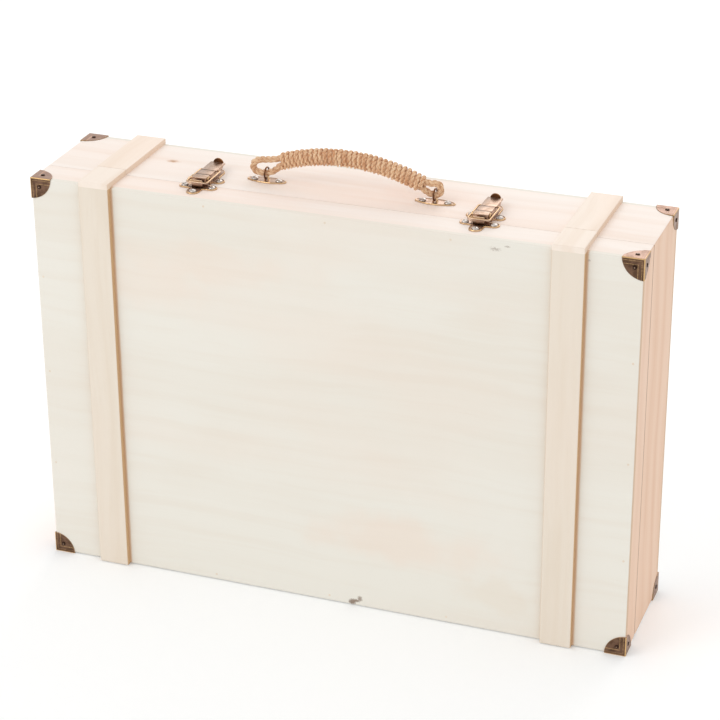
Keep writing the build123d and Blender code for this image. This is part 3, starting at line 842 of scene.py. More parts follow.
def run_tree(host_mesh: bpy.types.Mesh, tree: bpy.types.NodeTree, values: dict[str, Any]) -> bpy.types.Mesh:
    """Runs a geometry tree on a mesh and returns the plain result.

    Args:
        host_mesh: The mesh that the tree starts from.
        tree: The geometry node tree.
        values: The tree's inputs by name.

    Returns:
        The mesh that the tree makes.
    """
    host = bpy.data.objects.new("host", host_mesh)
    bpy.context.scene.collection.objects.link(host)
    modifier = host.modifiers.new("make", "NODES")
    modifier.node_group = tree
    names = {item.name: item.identifier for item in tree.interface.items_tree if item.in_out == "INPUT"}
    for name, value in values.items():
        modifier[names[name]] = value
    graph = bpy.context.evaluated_depsgraph_get()
    made = bpy.data.meshes.new_from_object(
        host.evaluated_get(graph), preserve_all_data_layers=True, depsgraph=graph
    )
    host.modifiers.remove(modifier)
    bpy.data.objects.remove(host)
    return made


# -------------------------------------------------------------- the case's box
@dataclass
class CaseBox:
    """The wooden box: its planes, read from the frame's own nodes."""

    left: float = field(init=False)
    right: float = field(init=False)
    front: float = field(init=False)
    back: float = field(init=False)
    bottom: float = field(init=False)
    top: float = field(init=False)

    def __post_init__(self) -> None:
        """Reads the planes from the two panels."""
        low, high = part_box("front_panel")
        self.left, self.right = low.x, high.x
        self.front, self.back = low.y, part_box("back_panel")[1].y
        self.bottom, self.top = low.z, high.z


@dataclass
class CaseBoards:
    """The panels, rails and battens, which keep their shape and get their wood."""

    box: CaseBox
    knot_place: float = -0.149
    knot_depth: float = 0.067
    chip_place: float = 0.0187

    def front_marks(self) -> list[Mark]:
        """Places the clouds, scuffs and chip of the front panel, and the painted shadow that each front
        batten casts on it.

        Returns:
            The marks.
        """
        front, top, bottom = self.box.front, self.box.top, self.box.bottom
        pink = tone(240, 212, 192)
        grey = tone(150, 134, 120)
        painted_shadow_tan = tone(206, 165, 126)
        chip = tone(124, 98, 78)
        deep = 0.01
        middle = (top + bottom) / 2
        # Painted shadow: a tan band down the panel along each front batten's right edge.
        edges = [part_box(f"front_batten_{side.word}")[1].x for side in Side]
        marks = [Mark((edge, front, middle), (0.0024, deep, 4.0), painted_shadow_tan, 0.85, 0.15, 30.0) for edge in edges]
        nick = self.chip_place
        return marks + [
            Mark((-0.13, front, top - 0.075), (0.055, deep, 0.03), pink, 0.2, 0.7, 22.0),
            Mark((-0.09, front, top - 0.05), (0.10, deep, 0.02), pink, 0.2, 0.8, 25.0),
            Mark((0.06, front, bottom + 0.06), (0.09, deep, 0.03), pink, 0.3, 0.8, 20.0),
            Mark((0.14, front, bottom + 0.03), (0.05, deep, 0.02), tone(226, 206, 182), 0.2, 0.8, 40.0),
            Mark((0.128, front, top - 0.007), (0.005, deep, 0.0016), grey, 0.55, 1.4, 1500.0),
            Mark((0.137, front, top - 0.004), (0.0026, deep, 0.0009), grey, 0.6, 1.4, 1900.0),
            Mark((0.196, front, top - 0.006), (0.0014, deep, 0.0012), grey, 0.45, 1.0, 1500.0),
            Mark((nick, front, bottom + 0.0024), (0.0038, deep, 0.0034), chip, 0.85, 0.6, 900.0),
            Mark((nick + 0.0032, front, bottom + 0.0040), (0.0044, deep, 0.0019), chip, 0.8, 0.5, 600.0),
            Mark((nick + 0.0064, front, bottom + 0.0064), (0.0027, deep, 0.0032), chip, 0.7, 0.5, 600.0),
        ]

    def top_marks(self) -> list[Mark]:
        """Places the knot and the rosy cloud of the base's top board.

        Returns:
            The marks.
        """
        top, depth = self.box.top, self.box.front + self.knot_depth
        ring = tone(206, 160, 120)
        core = tone(176, 124, 84)
        return [
            Mark((self.knot_place, depth, top), (0.007, 0.0042, 0.01), ring, 0.55, 0.4, 300.0),
            Mark((self.knot_place, depth, top), (0.0032, 0.002, 0.01), core, 0.7, 0.4, 500.0),
            Mark((0.07, depth, top), (0.07, 0.02, 0.01), tone(248, 220, 204), 0.3, 0.7, 30.0),
        ]

    def seam_mark(self, side: Side) -> Mark:
        """Places the painted shadow in the seam between lid and base on one end of the case.

        Args:
            side: The end.

        Returns:
            The mark.
        """
        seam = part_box("lid_rail_right")[1].y
        edge = self.box.right if side is Side.RIGHT else self.box.left
        middle = (self.box.top + self.box.bottom) / 2
        # Painted shadow: a dark line along the seam on the end rail.
        return Mark((edge, seam, middle), (0.001, 0.0009, 4.0), tone(128, 82, 52), 0.8, 0.15, 60.0)

    def dress_all(self) -> None:
        """Gives each board its own grain."""
        dress("front_panel", PANEL_WOOD.material("front_panel", Axis.X, 1, self.front_marks()))
        dress("back_panel", PANEL_WOOD.material("back_panel", Axis.X, 2))
        dress("lid_rail_top", RAIL_WOOD.material("lid_rail_top", Axis.X, 3))
        dress("base_rail_top", RAIL_WOOD.material("base_rail_top", Axis.X, 4, self.top_marks()))
        for index, shell in enumerate(("lid", "base")):
            dress(f"{shell}_rail_bottom", RAIL_WOOD.material(f"{shell}_rail_bottom", Axis.X, 5 + index))
            for side in Side:
                seed = 10 + 4 * index + side.value
                name = f"{shell}_rail_{side.word}"
                # The end rails carry the painted seam shadow.
                dress(name, END_WOOD.material(name, Axis.Z, seed, [self.seam_mark(side)]))
                name = f"{shell}_batten_{side.word}"
                dress(name, TOP_BATTEN_WOOD.material(name, Axis.Y, seed + 20))
        for side in Side:
            name = f"front_batten_{side.word}"
            dress(name, BATTEN_WOOD.material(name, Axis.Z, 40 + side.value))
        for name in ("lid_panel_brads", "base_panel_brads"):
            dress(name, FILLER_WOOD.material(name, Axis.X, 50))
        LOG.info("boards dressed")


# ----------------------------------------------------------- corner protectors
@dataclass
class CornerProtector:
    """A stamped three-sided cap with quarter-round legs, a pressed step and a rim."""

    thickness: float = 0.8 * MM
    edge_round: float = 0.75 * MM
    step_inset: float = 4.9 * MM
    step_width: float = 0.55 * MM
    step_depth: float = 0.3 * MM
    bead_inset: float = 1.75 * MM
    bead_depth: float = 0.14 * MM
    bead_width: float = 0.3 * MM
    rim_round: float = 0.45 * MM
    rim_drop: float = 0.55
    rubbed_edge: tuple[float, float] = (0.5 * MM, 1.15 * MM)
    rubbed_step: float = 0.38 * MM
    rubbed_rim: float = 0.4 * MM
    bead_to_line: float = 0.4 * MM
    line_wear: float = 0.72
    rim_wear: float = 0.6
    cells: int = 44

    def spacing(self) -> list[float]:
        """Spaces grid values from 0 to 1, closer together near 0 and near 1.

        Returns:
            The values.
        """
        values = []
        for index in range(self.cells + 1):
            share = index / self.cells
            values.append(0.35 * share + 0.65 * (1 - math.cos(math.pi * share)) / 2)
        return values

    def press(self, inset: float, to_rim: float) -> float:
        """Finds how far a point of the face lies below the skin.

        Args:
            inset: The distance to the nearer edge.
            to_rim: The distance to the rim.

        Returns:
            The depth.
        """
        step = self.step_depth * smoothstep(self.step_inset, self.step_inset + self.step_width, inset)
        bead = self.bead_depth * math.exp(-((inset - self.bead_inset) / self.bead_width) ** 2)
        fall = max(0.0, 1 - to_rim / self.rim_round)
        rim = (self.thickness - step) * self.rim_drop * (1 - math.sqrt(max(0.0, 1 - fall * fall)))
        return step + bead + rim

    def rub(self, inset: float, to_rim: float) -> float:
        """Finds how worn a point of the face is.

        Args:
            inset: The distance to the nearer edge.
            to_rim: The distance to the rim.

        Returns:
            The wear.
        """
        edge = 1 - smoothstep(*self.rubbed_edge, inset)
        past_bead = inset - self.bead_inset - self.bead_to_line
        groove = self.line_wear * math.exp(-((past_bead / self.bead_width) ** 2))
        step = self.line_wear * math.exp(-((inset - self.step_inset) / self.rubbed_step) ** 2)
        rim = self.rim_wear * math.exp(-((to_rim / self.rubbed_rim) ** 2))
        return max(edge, groove, step, rim)

    def outer_point(self, first: float, second: float, reach: float) -> tuple[list[float], float]:
        """A point of one face, in distances from the outer corner, with its wear.

        Args:
            first: The grid value along the face's first direction.
            second: The grid value along its second direction.
            reach: The radius of the leg from the outer corner.

        Returns:
            The distances along both directions and across the face, and the wear.
        """
        along = reach * first * math.sqrt(1 - second * second / 2)
        across = reach * second * math.sqrt(1 - first * first / 2)
        inset = min(along, across)
        to_rim = reach - math.hypot(along, across)
        depth = self.press(inset, to_rim)
        spot = Vector((along, across, depth))
        core = Vector([max(value, self.edge_round) for value in spot])
        away = spot - core
        if away.length > 0 and min(along, across) < self.edge_round:
            core.z = max(self.edge_round, depth + self.edge_round)
            away = Vector((min(along - core.x, 0), min(across - core.y, 0), -self.edge_round))
            spot = core + away.normalized() * self.edge_round
        if first == 0 and second > 0:
            spot.x = spot.z = (spot.x + spot.z) / 2
        if second == 0 and first > 0:
            spot.y = spot.z = (spot.y + spot.z) / 2
        return [spot.x, spot.y, spot.z], self.rub(inset, to_rim)

    def inner_point(self, spot: Sequence[float], radius: float) -> tuple[float, float]:
        """The point of the flat inside that lies behind a point of the rim.

        Args:
            spot: The rim's point, in distances from the outer corner.
            radius: The radius of the leg from the outer corner.

        Returns:
            The distances from the wood's corner along the face's two directions.
        """
        reach = radius - self.thickness
        if spot[1] <= self.thickness:
            return reach, 0.0
        if spot[0] <= self.thickness:
            return 0.0, reach
        return spot[0] - self.thickness, spot[1] - self.thickness

    def build(self, corner: Vector, signs: tuple[int, int, int], reach: float) -> bpy.types.Mesh:
        """Builds one protector.

        Args:
            corner: The corner of the wood.
            signs: Which way the corner points along each axis.
            reach: The length of a leg from the wood's corner.

        Returns:
            The closed mesh.
        """
        solid = Solid()
        grid = self.spacing()
        radius = reach + self.thickness
        for turn in range(3):
            order = (turn, (turn + 1) % 3, (turn + 2) % 3)
            rows, spots = [], {}
            for first in grid:
                row = []
                for second in grid:
                    spot, wear = self.outer_point(first, second, radius)
                    place = Vector()
                    for value, axis in zip(spot, order):
                        place[axis] = corner[axis] + signs[axis] * (self.thickness - value)
                    row.append(solid.point(place, wear))
                    spots[row[-1]] = spot
                rows.append(row)
            solid.loft(rows, closed=False)
            rim = rows[-1] + [row[-1] for row in reversed(rows[:-1])]
            behind = []
            for point in rim:
                inner = corner.copy()
                for value, axis in zip(self.inner_point(spots[point], radius), order):
                    inner[axis] -= signs[axis] * value
                behind.append(solid.point(inner))
            solid.loft([rim, behind], closed=False)
            solid.fan_open(behind, solid.point(corner))
        return solid.mesh(weld=2e-6)

    def build_all(self, box: CaseBox) -> None:
        """Builds the eight protectors in the place of the frame's.

        Args:
            box: The planes of the case.
        """
        bronze = AGED_BRONZE.material()
        levels = (("bottom", -1, box.bottom), ("top", 1, box.top))
        faces = (("front", -1, box.front, "lid"), ("back", 1, box.back, "base"))
        for (level, sign_z, height), side, (face, sign_y, depth, body) in product(levels, Side, faces):
            node = f"corner_{face}_{level}_{side.word}"
            low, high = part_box(node)
            width = box.right if side is Side.RIGHT else box.left
            reach = high.z - low.z - self.thickness
            corner = Vector((width, depth, height))
            mesh = self.build(corner, (side.value, sign_y, sign_z), reach)
            finish_piece(f"stamped_{node}", mesh, body, bronze, [node])


# ------------------------------------------------------------- stamped plates
@dataclass(frozen=True)
class Arm:
    """A round-ended arm of a plate's outline: from one place to another, with its radius."""

    start: tuple[float, float]
    end: tuple[float, float]
    radius: float

    def distance(self, x: float, y: float) -> float:
        """Measures from a place to the arm's edge.

        Args:
            x: The place along the case.
            y: The place across it.

        Returns:
            The distance, negative inside.
        """
        run = Vector(self.end) - Vector(self.start)
        to_place = Vector((x, y)) - Vector(self.start)
        share = min(max(to_place.dot(run) / max(run.dot(run), 1e-12), 0.0), 1.0)
        return (to_place - run * share).length - self.radius


@dataclass
class StampedPlate:
    """A thin plate with a rolled rim, whose outline blends several arms."""

    blend: float = 0.7 * MM
    rays: int = 144
    rim: tuple[tuple[float, float, float], ...] = (
        (1.5 * MM, 0.66 * MM, 0.0),
        (1.15 * MM, 0.7 * MM, 0.0),
        (0.9 * MM, 0.9 * MM, 0.35),
        (0.62 * MM, 1.06 * MM, 0.9),
        (0.36 * MM, 1.0 * MM, 1.0),
        (0.14 * MM, 0.72 * MM, 0.9),
        (0.02 * MM, 0.36 * MM, 0.55),
        (0.0, 0.0, 0.1),
    )

    def outline(self, arms: Sequence[Arm], x: float, y: float) -> float:
        """The signed distance to the blended outline of the arms."""
        total = sum(math.exp(-arm.distance(x, y) / self.blend) for arm in arms)
        return -self.blend * math.log(total)

    def add(self, solid: Solid, centre: Vector, arms: Sequence[Arm]) -> None:
        """Adds a plate that lies on a plane through its centre.

        Args:
            solid: The mesh in the making.
            centre: The plate's centre on the wood.
            arms: The arms of its outline, about that centre.
        """
        rings: list[list[bmesh.types.BMVert]] = [[] for _ in range(len(self.rim) + 3)]
        for ray in range(self.rays):
            angle = 2 * math.pi * ray / self.rays
            cosine, sine = math.cos(angle), math.sin(angle)
            low, high = 0.0, 40 * MM
            for _ in range(26):
                middle = (low + high) / 2
                inside = self.outline(arms, middle * cosine, middle * sine) < 0
                low, high = (middle, high) if inside else (low, middle)
            inner = low - self.rim[0][0]
            stations = [(inner * share, self.rim[0][1], 0.0) for share in (0.35, 0.75)]
            stations += [(low - inset, height, wear) for inset, height, wear in self.rim]
            stations.append((inner * 0.5, 0.0, 0.0))
            for ring, (reach, height, wear) in zip(rings, stations):
                place = centre + Vector((reach * cosine, reach * sine, height))
                ring.append(solid.point(place, wear))
        solid.loft(rings)
        solid.fan(rings[0], solid.point(centre + Vector((0, 0, self.rim[0][1]))), flip=True)
        solid.fan(rings[-1], solid.point(centre))


def arc_points(
    centre: tuple[float, float], radius: float, start: float, end: float, steps: int
) -> list[Vector]:
    """Finds points on an arc in a plane.

    Args:
        centre: The arc's centre.
        radius: The arc's radius.
        start: The first angle, in degrees.
        end: The last angle, in degrees.
        steps: The number of steps between them.

    Returns:
        The points, one more than the steps.
    """
    points = []
    for step in range(steps + 1):
        angle = math.radians(start + (end - start) * step / steps)
        points.append(Vector((centre[0] + radius * math.cos(angle), centre[1] + radius * math.sin(angle))))
    return points


@dataclass
class DrawLatch:
    """A draw latch: strike plate with hook, base plate with ears, stepped lever and wire loop.

    Depths run back from the case's front and rises run up from its top.
    """

    lobe_offset: float = 10.8 * MM
    lobe_radius: float = 4.2 * MM
    lobe_depth: float = 23.6 * MM
    toe_radius: float = 5.0 * MM
    toe_depth: float = 13.6 * MM
    strike_shift: float = 1.6 * MM
    base_lobe_offset: float = 10.5 * MM
    base_lobe_radius: float = 4.3 * MM
    base_lobe_depth: float = 38.0 * MM
    heel_depth: float = 54.0 * MM
    heel_radius: float = 7.9 * MM
    neck_depth: float = 38.4 * MM
    base_shift: float = 4 * MM
    hook_depth: float = 20.95 * MM
    hook_thickness: float = 1.4 * MM
    hook_width: float = 8.4 * MM
    hook_rise: float = 6.6 * MM
    hook_foot: float = 0.3 * MM
    hook_wear: float = 0.55
    # hook_grime is where the painted shade on the hook starts above the plate.
    hook_grime: float = 0.1 * MM
    pivot_depth: float = 28.6 * MM
    pivot_rise: float = 5.3 * MM
    nose_radius: float = 4.3 * MM
    lever_width: float = 11.6 * MM
    treads: tuple[float, float, float] = (7.4 * MM, 6.9 * MM, 6.4 * MM)
    first_step: float = 31.5 * MM
    second_step: float = 42.0 * MM
    groove_width: float = 0.7 * MM
    groove_depth: float = 0.75 * MM
    groove_shade: float = 2.6 * MM
    # grime_margin and grime_rise size the painted shade in the lever's grooves.
    grime_margin: float = 0.25 * MM
    grime_rise: float = 2.4
    nose_chamfer: float = 0.35 * MM
    lever_wear: float = 0.42
    underside: float = 3.7 * MM
    body_end: float = 57.0 * MM
    lever_end: float = 61.2 * MM
    tail_thickness: float = 1.2 * MM
    tab_radius: float = 4.2 * MM
    tab_bevel: float = 1.4
    ear_gap: float = 0.2 * MM
    ear_thickness: float = 1.0 * MM
    ear_radius: float = 2.2 * MM
    ear_foot: float = 5.4 * MM
    ear_base: float = 0.4 * MM
    ear_start: float = 30.4 * MM
    ear_start_rise: float = 1.6 * MM
    ear_wear: float = 0.8
    wire_radius: float = 0.7 * MM
    arm_reach: float = 8.0 * MM
    loop_pivot_depth: float = 47.0 * MM
    loop_bar_depth: float = 20.0 * MM
    loop_rise: float = 5.1 * MM
    loop_socket: float = 3.9 * MM
    loop_round: float = 1.6 * MM
    bevel: float = 0.22 * MM

    def strike(self, centre_x: float, box: CaseBox) -> bpy.types.Mesh:
        """Builds the three-lobed plate on the lid, with the hook that the loop pulls on.

        Args:
            centre_x: The latch's middle along the case.
            box: The planes of the case.

        Returns:
            The mesh.
        """
        solid = Solid()
        middle = Vector((centre_x, box.front + self.lobe_depth - self.strike_shift, box.top))
        lobe_y = self.lobe_depth - (middle.y - box.front)
        toe_y = self.toe_depth - (middle.y - box.front)
        arms = [
            Arm((0, lobe_y), (self.lobe_offset, lobe_y), self.lobe_radius),
            Arm((0, lobe_y), (-self.lobe_offset, lobe_y), self.lobe_radius),
            Arm((0, 0), (0, toe_y), self.toe_radius),
        ]
        StampedPlate().add(solid, middle, arms)
        near = box.front + self.hook_depth
        far = near + self.hook_thickness
        lip = self.hook_thickness / 2
        rise, foot = self.hook_rise, self.hook_foot
        outline = [(near, foot), (near, rise - lip), (near + 0.2 * lip, rise)]
        outline += [(near + lip, rise), (far, rise - lip), (far, foot)]
        corners = [Vector((centre_x - self.hook_width / 2, y, box.top + z)) for y, z in outline]
        solid.prism(corners, Vector((self.hook_width, 0, 0)), self.bevel, self.hook_wear)
        # Painted shade on the lower half of the hook, under the lever's nose.
        low = Vector((centre_x - self.hook_width, near - self.bevel, box.top + self.hook_grime))
        solid.soil(low, Vector((centre_x + self.hook_width, far + self.bevel, box.top + rise / 2)))
        return solid.mesh()

    def base(self, centre_x: float, box: CaseBox) -> bpy.types.Mesh:
        """Builds the plate on the base, with the two ears that carry the lever.

        Args:
            centre_x: The latch's middle along the case.
            box: The planes of the case.

        Returns:
            The mesh.
        """
        solid = Solid()
        middle = Vector((centre_x, box.front + self.base_lobe_depth + self.base_shift, box.top))
        origin = middle.y - box.front
        lobe_y = self.base_lobe_depth - origin
        arms = [
            Arm((0, lobe_y), (self.base_lobe_offset, lobe_y), self.base_lobe_radius),
            Arm((0, lobe_y), (-self.base_lobe_offset, lobe_y), self.base_lobe_radius),
            Arm((0, 0), (0, self.heel_depth - origin), self.heel_radius),
            Arm((0, 0), (0, self.neck_depth - origin), self.heel_radius),
        ]
        StampedPlate().add(solid, middle, arms)
        pivot = (box.front + self.pivot_depth, self.pivot_rise)
        start = box.front + self.ear_start
        outline = [Vector((start + self.ear_foot, self.ear_base))]
        outline += arc_points(pivot, self.ear_radius, 35, 215, 14)
        outline += [Vector((start, self.ear_start_rise)), Vector((start, self.ear_base))]
        inner = self.lever_width / 2 + self.ear_gap
        for ear_from in (centre_x - inner - self.ear_thickness, centre_x + inner):
            corners = [Vector((ear_from, point.x, box.top + point.y)) for point in outline]
            solid.prism(corners, Vector((self.ear_thickness, 0, 0)), self.bevel, self.ear_wear)
        return solid.mesh()

    def lever(self, centre_x: float, box: CaseBox) -> bpy.types.Mesh:
        """Builds the stepped lever with its rounded nose.

        Args:
            centre_x: The latch's middle along the case.
            box: The planes of the case.

        Returns:
            The mesh.
        """
        solid = Solid()
        front, middle, rear = self.treads
        pivot = (box.front + self.pivot_depth, self.pivot_rise)
        depth = box.front
        nose_top = math.degrees(math.asin((front - self.pivot_rise) / self.nose_radius))
        nose_low = math.degrees(math.asin((self.underside - self.pivot_rise) / self.nose_radius))
        outline = arc_points(pivot, self.nose_radius, nose_low, nose_top - 180, 22)
        outline[-1] = Vector((outline[-1].x, front - self.nose_chamfer))
        outline.append(Vector((outline[-1].x + self.nose_chamfer, front)))
        for step, above, below in ((self.first_step, front, middle), (self.second_step, middle, rear)):
            near = depth + step
            far = near + self.groove_width
            outline += [
                Vector((near, above)),
                Vector((near, above - self.groove_depth)),
                Vector((far, above - self.groove_depth)),
                Vector((far, below)),
                Vector((far + self.groove_shade, below)),
            ]
        tail = rear - self.tail_thickness
        outline += [
            Vector((depth + self.lever_end, rear)),
            Vector((depth + self.lever_end, tail)),
            Vector((depth + self.body_end, tail)),
            Vector((depth + self.body_end - self.tail_thickness, self.underside)),
        ]
        corners = [Vector((centre_x - self.lever_width / 2, point.x, box.top + point.y)) for point in outline]
        solid.prism(corners, Vector((self.lever_width, 0, 0)), self.bevel, self.lever_wear)
        # Painted shade in the bottom of each step's groove.
        slack = self.grime_margin
        for step, tread in ((self.first_step, front), (self.second_step, middle)):
            low = Vector((centre_x - self.lever_width, depth + step - slack, 0))
            high = Vector((centre_x + self.lever_width, depth + step + self.groove_width + slack, 0))
            low.z = box.top + tread - self.groove_depth - slack
            high.z = low.z + self.grime_rise * slack
            solid.soil(low, high)
        return solid.mesh()

    def tab(self, centre_x: float, box: CaseBox) -> bpy.types.Mesh:
        """Builds the upright half-round finger tab at the lever's end.

        Args:
            centre_x: The latch's middle along the case.
            box: The planes of the case.

        Returns:
            The mesh.
        """
        solid = Solid()
        low = self.treads[2] - self.tail_thickness
        outline = arc_points((centre_x, box.top + low), self.tab_radius, 0, 180, 24)
        corners = [Vector((point.x, box.front + self.lever_end, point.y)) for point in outline]
        solid.prism(corners, Vector((0, self.tail_thickness, 0)), self.bevel * self.tab_bevel, self.ear_wear)
        return solid.mesh()

    def loop(self, centre_x: float, box: CaseBox) -> bpy.types.Mesh:
        """Builds the wire loop: a bar in front, two arms and two ends turned into the lever.

        Args:
            centre_x: The latch's middle along the case.
            box: The planes of the case.

        Returns:
            The mesh.
        """
        height = box.top + self.loop_rise
        near, far = box.front + self.loop_bar_depth, box.front + self.loop_pivot_depth
        turn = self.loop_round
        path = [Vector((centre_x + self.loop_socket, far, height))]
        corners = [
            (self.arm_reach - turn, far - turn, 90, 0),
            (self.arm_reach - turn, near + turn, 0, -90),
            (-self.arm_reach + turn, near + turn, -90, -180),
            (-self.arm_reach + turn, far - turn, 180, 90),
        ]
        for x, y, start, end in corners:
            for point in arc_points((centre_x + x, y), turn, start, end, 6):
                path.append(Vector((point.x, point.y, height)))
        path.append(Vector((centre_x - self.loop_socket, far, height)))
        solid = Solid()
        solid.tube(path, self.wire_radius, sides=14)
        return solid.mesh()

    def build_all(self, box: CaseBox) -> None:
        """Builds both latches.

        Args:
            box: The planes of the case.
        """
        bronze = LATCH_BRONZE.material()
        for side in Side:
            word = side.word
            low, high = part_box(f"latch_lever_{word}")
            centre_x = (low.x + high.x) / 2
            pieces = (
                ("strike_hook", self.strike, "lid", bronze, "strike_plate"),
                ("eared_plate", self.base, "base", bronze, "latch_base"),
                ("stepped_lever", self.lever, f"{word}_lever", bronze, "latch_lever"),
                ("finger_tab", self.tab, f"{word}_lever", TAB_BRONZE.material(), "latch_lever"),
                ("wire_loop", self.loop, f"{word}_loop", bronze, "latch_loop"),
            )
            for name, make, body, finish, node in pieces:
                mesh = make(centre_x, box)
                finish_piece(f"{name}_{word}", mesh, body, finish, [f"{node}_{word}"])
            dress(f"latch_pin_{word}", bronze)


# ------------------------------------------------------------------- fasteners
def make_heads_tree() -> bpy.types.NodeTree:
    """Builds the tree that sets one fastener head on each point, turned about its own axis.

    Returns:
        A tree with the inputs Points, Head, Size and Finish.
    """
    tree, desk, given, result = node_group(
        "heads_on_points",
        "GeometryNodeTree",
        {
            "Points": "shape",
            "Head": "object",
            "Size": "number",
            "Finish": "material",
        },
        {"Heads": "shape"},
    )
    facing = desk.put("GeometryNodeInputNamedAttribute", {"Name": "facing"}, data_type="FLOAT_VECTOR")
    spin = desk.put("GeometryNodeInputNamedAttribute", {"Name": "spin"}, data_type="FLOAT")
    aim = desk.put("FunctionNodeAlignRotationToVector", {"Vector": facing.outputs[0]}, axis="Z")
    turn = desk.put("FunctionNodeAxisAngleToRotation", {"Angle": spin.outputs[0]})
    turned = desk.put(
        "FunctionNodeRotateRotation",
        {"Rotation": aim.outputs[0], "Rotate By": turn.outputs[0]},
        rotation_space="LOCAL",
    )
    head = desk.put("GeometryNodeObjectInfo", {"Object": given.outputs["Head"]})
    placed = desk.put(
        "GeometryNodeInstanceOnPoints",
        {
            "Points": given.outputs["Points"],
            "Instance": head.outputs["Geometry"],
            "Rotation": turned.outputs[0],
            "Scale": given.outputs["Size"],
        },
    )
    real = desk.put("GeometryNodeRealizeInstances", {"Geometry": placed.outputs[0]})
    dressed = desk.put(
        "GeometryNodeSetMaterial", {"Geometry": real.outputs[0], "Material": given.outputs["Finish"]}
    )
    desk.join(dressed.outputs[0], result.inputs["Heads"])
    return tree


@dataclass
class FastenerHead:
    """The turned head and shank of a screw or a nail, as a template about its own axis."""

    radius: float
    rise: float
    skirt: float
    shank_radius: float
    length: float
    slot_width: float = 0.0
    slot_depth: float = 0.0
    slot_wall: tuple[float, float] = (0.42, 0.6)
    dome: float = 2.3
    crown_wear: float = 0.9
    rings: int = 9
    sides: int = 36

    def surface(self, x: float, y: float) -> tuple[float, float]:
        """Finds the head's surface over a place.

        Args:
            x: The place along the slot.
            y: The place across it.

        Returns:
            The height and the wear.
        """
        reach = math.hypot(x, y) / self.radius
        height = self.rise * math.sqrt(max(0.0, 1 - reach**self.dome))
        wear = self.crown_wear * (1 - smoothstep(0.0, 0.75, reach))
        if self.slot_width:
            low, high = self.slot_wall
            inside = 1 - smoothstep(self.slot_width * low, self.slot_width * high, abs(y))
            height -= inside * min(self.slot_depth, height)
            wear *= 1 - inside
        return height, wear

    def build(self) -> bpy.types.Object:
        """Builds the template, whose origin is where the head meets its plate.

        Returns:
            The template object.
        """
        solid = Solid()
        rings = []
        angles = [2 * math.pi * side / self.sides for side in range(self.sides)]
        for ring in range(1, self.rings + 1):
            reach = self.radius * math.sin(math.pi / 2 * ring / self.rings)
            row = []
            for angle in angles:
                x, y = reach * math.cos(angle), reach * math.sin(angle)
                height, wear = self.surface(x, y)
                row.append(solid.point((x, y, height), wear))
            rings.append(row)
        shank = (
            (self.radius, -self.skirt),
            (self.shank_radius, -self.skirt),
            (self.shank_radius, self.shank_radius - self.length),
            (self.shank_radius * 0.1, -self.length),
        )
        for reach, height in shank:
            rings.append([solid.point((reach * math.cos(a), reach * math.sin(a), height)) for a in angles])
        solid.loft(rings)
        top, wear = self.surface(0.0, 0.0)
        solid.fan(rings[0], solid.point((0, 0, top), wear), flip=True)
        solid.fan(rings[-1], solid.point((0, 0, -self.length)))
        template = bpy.data.objects.new("head", solid.mesh())
        bpy.context.scene.collection.objects.link(template)
        return template


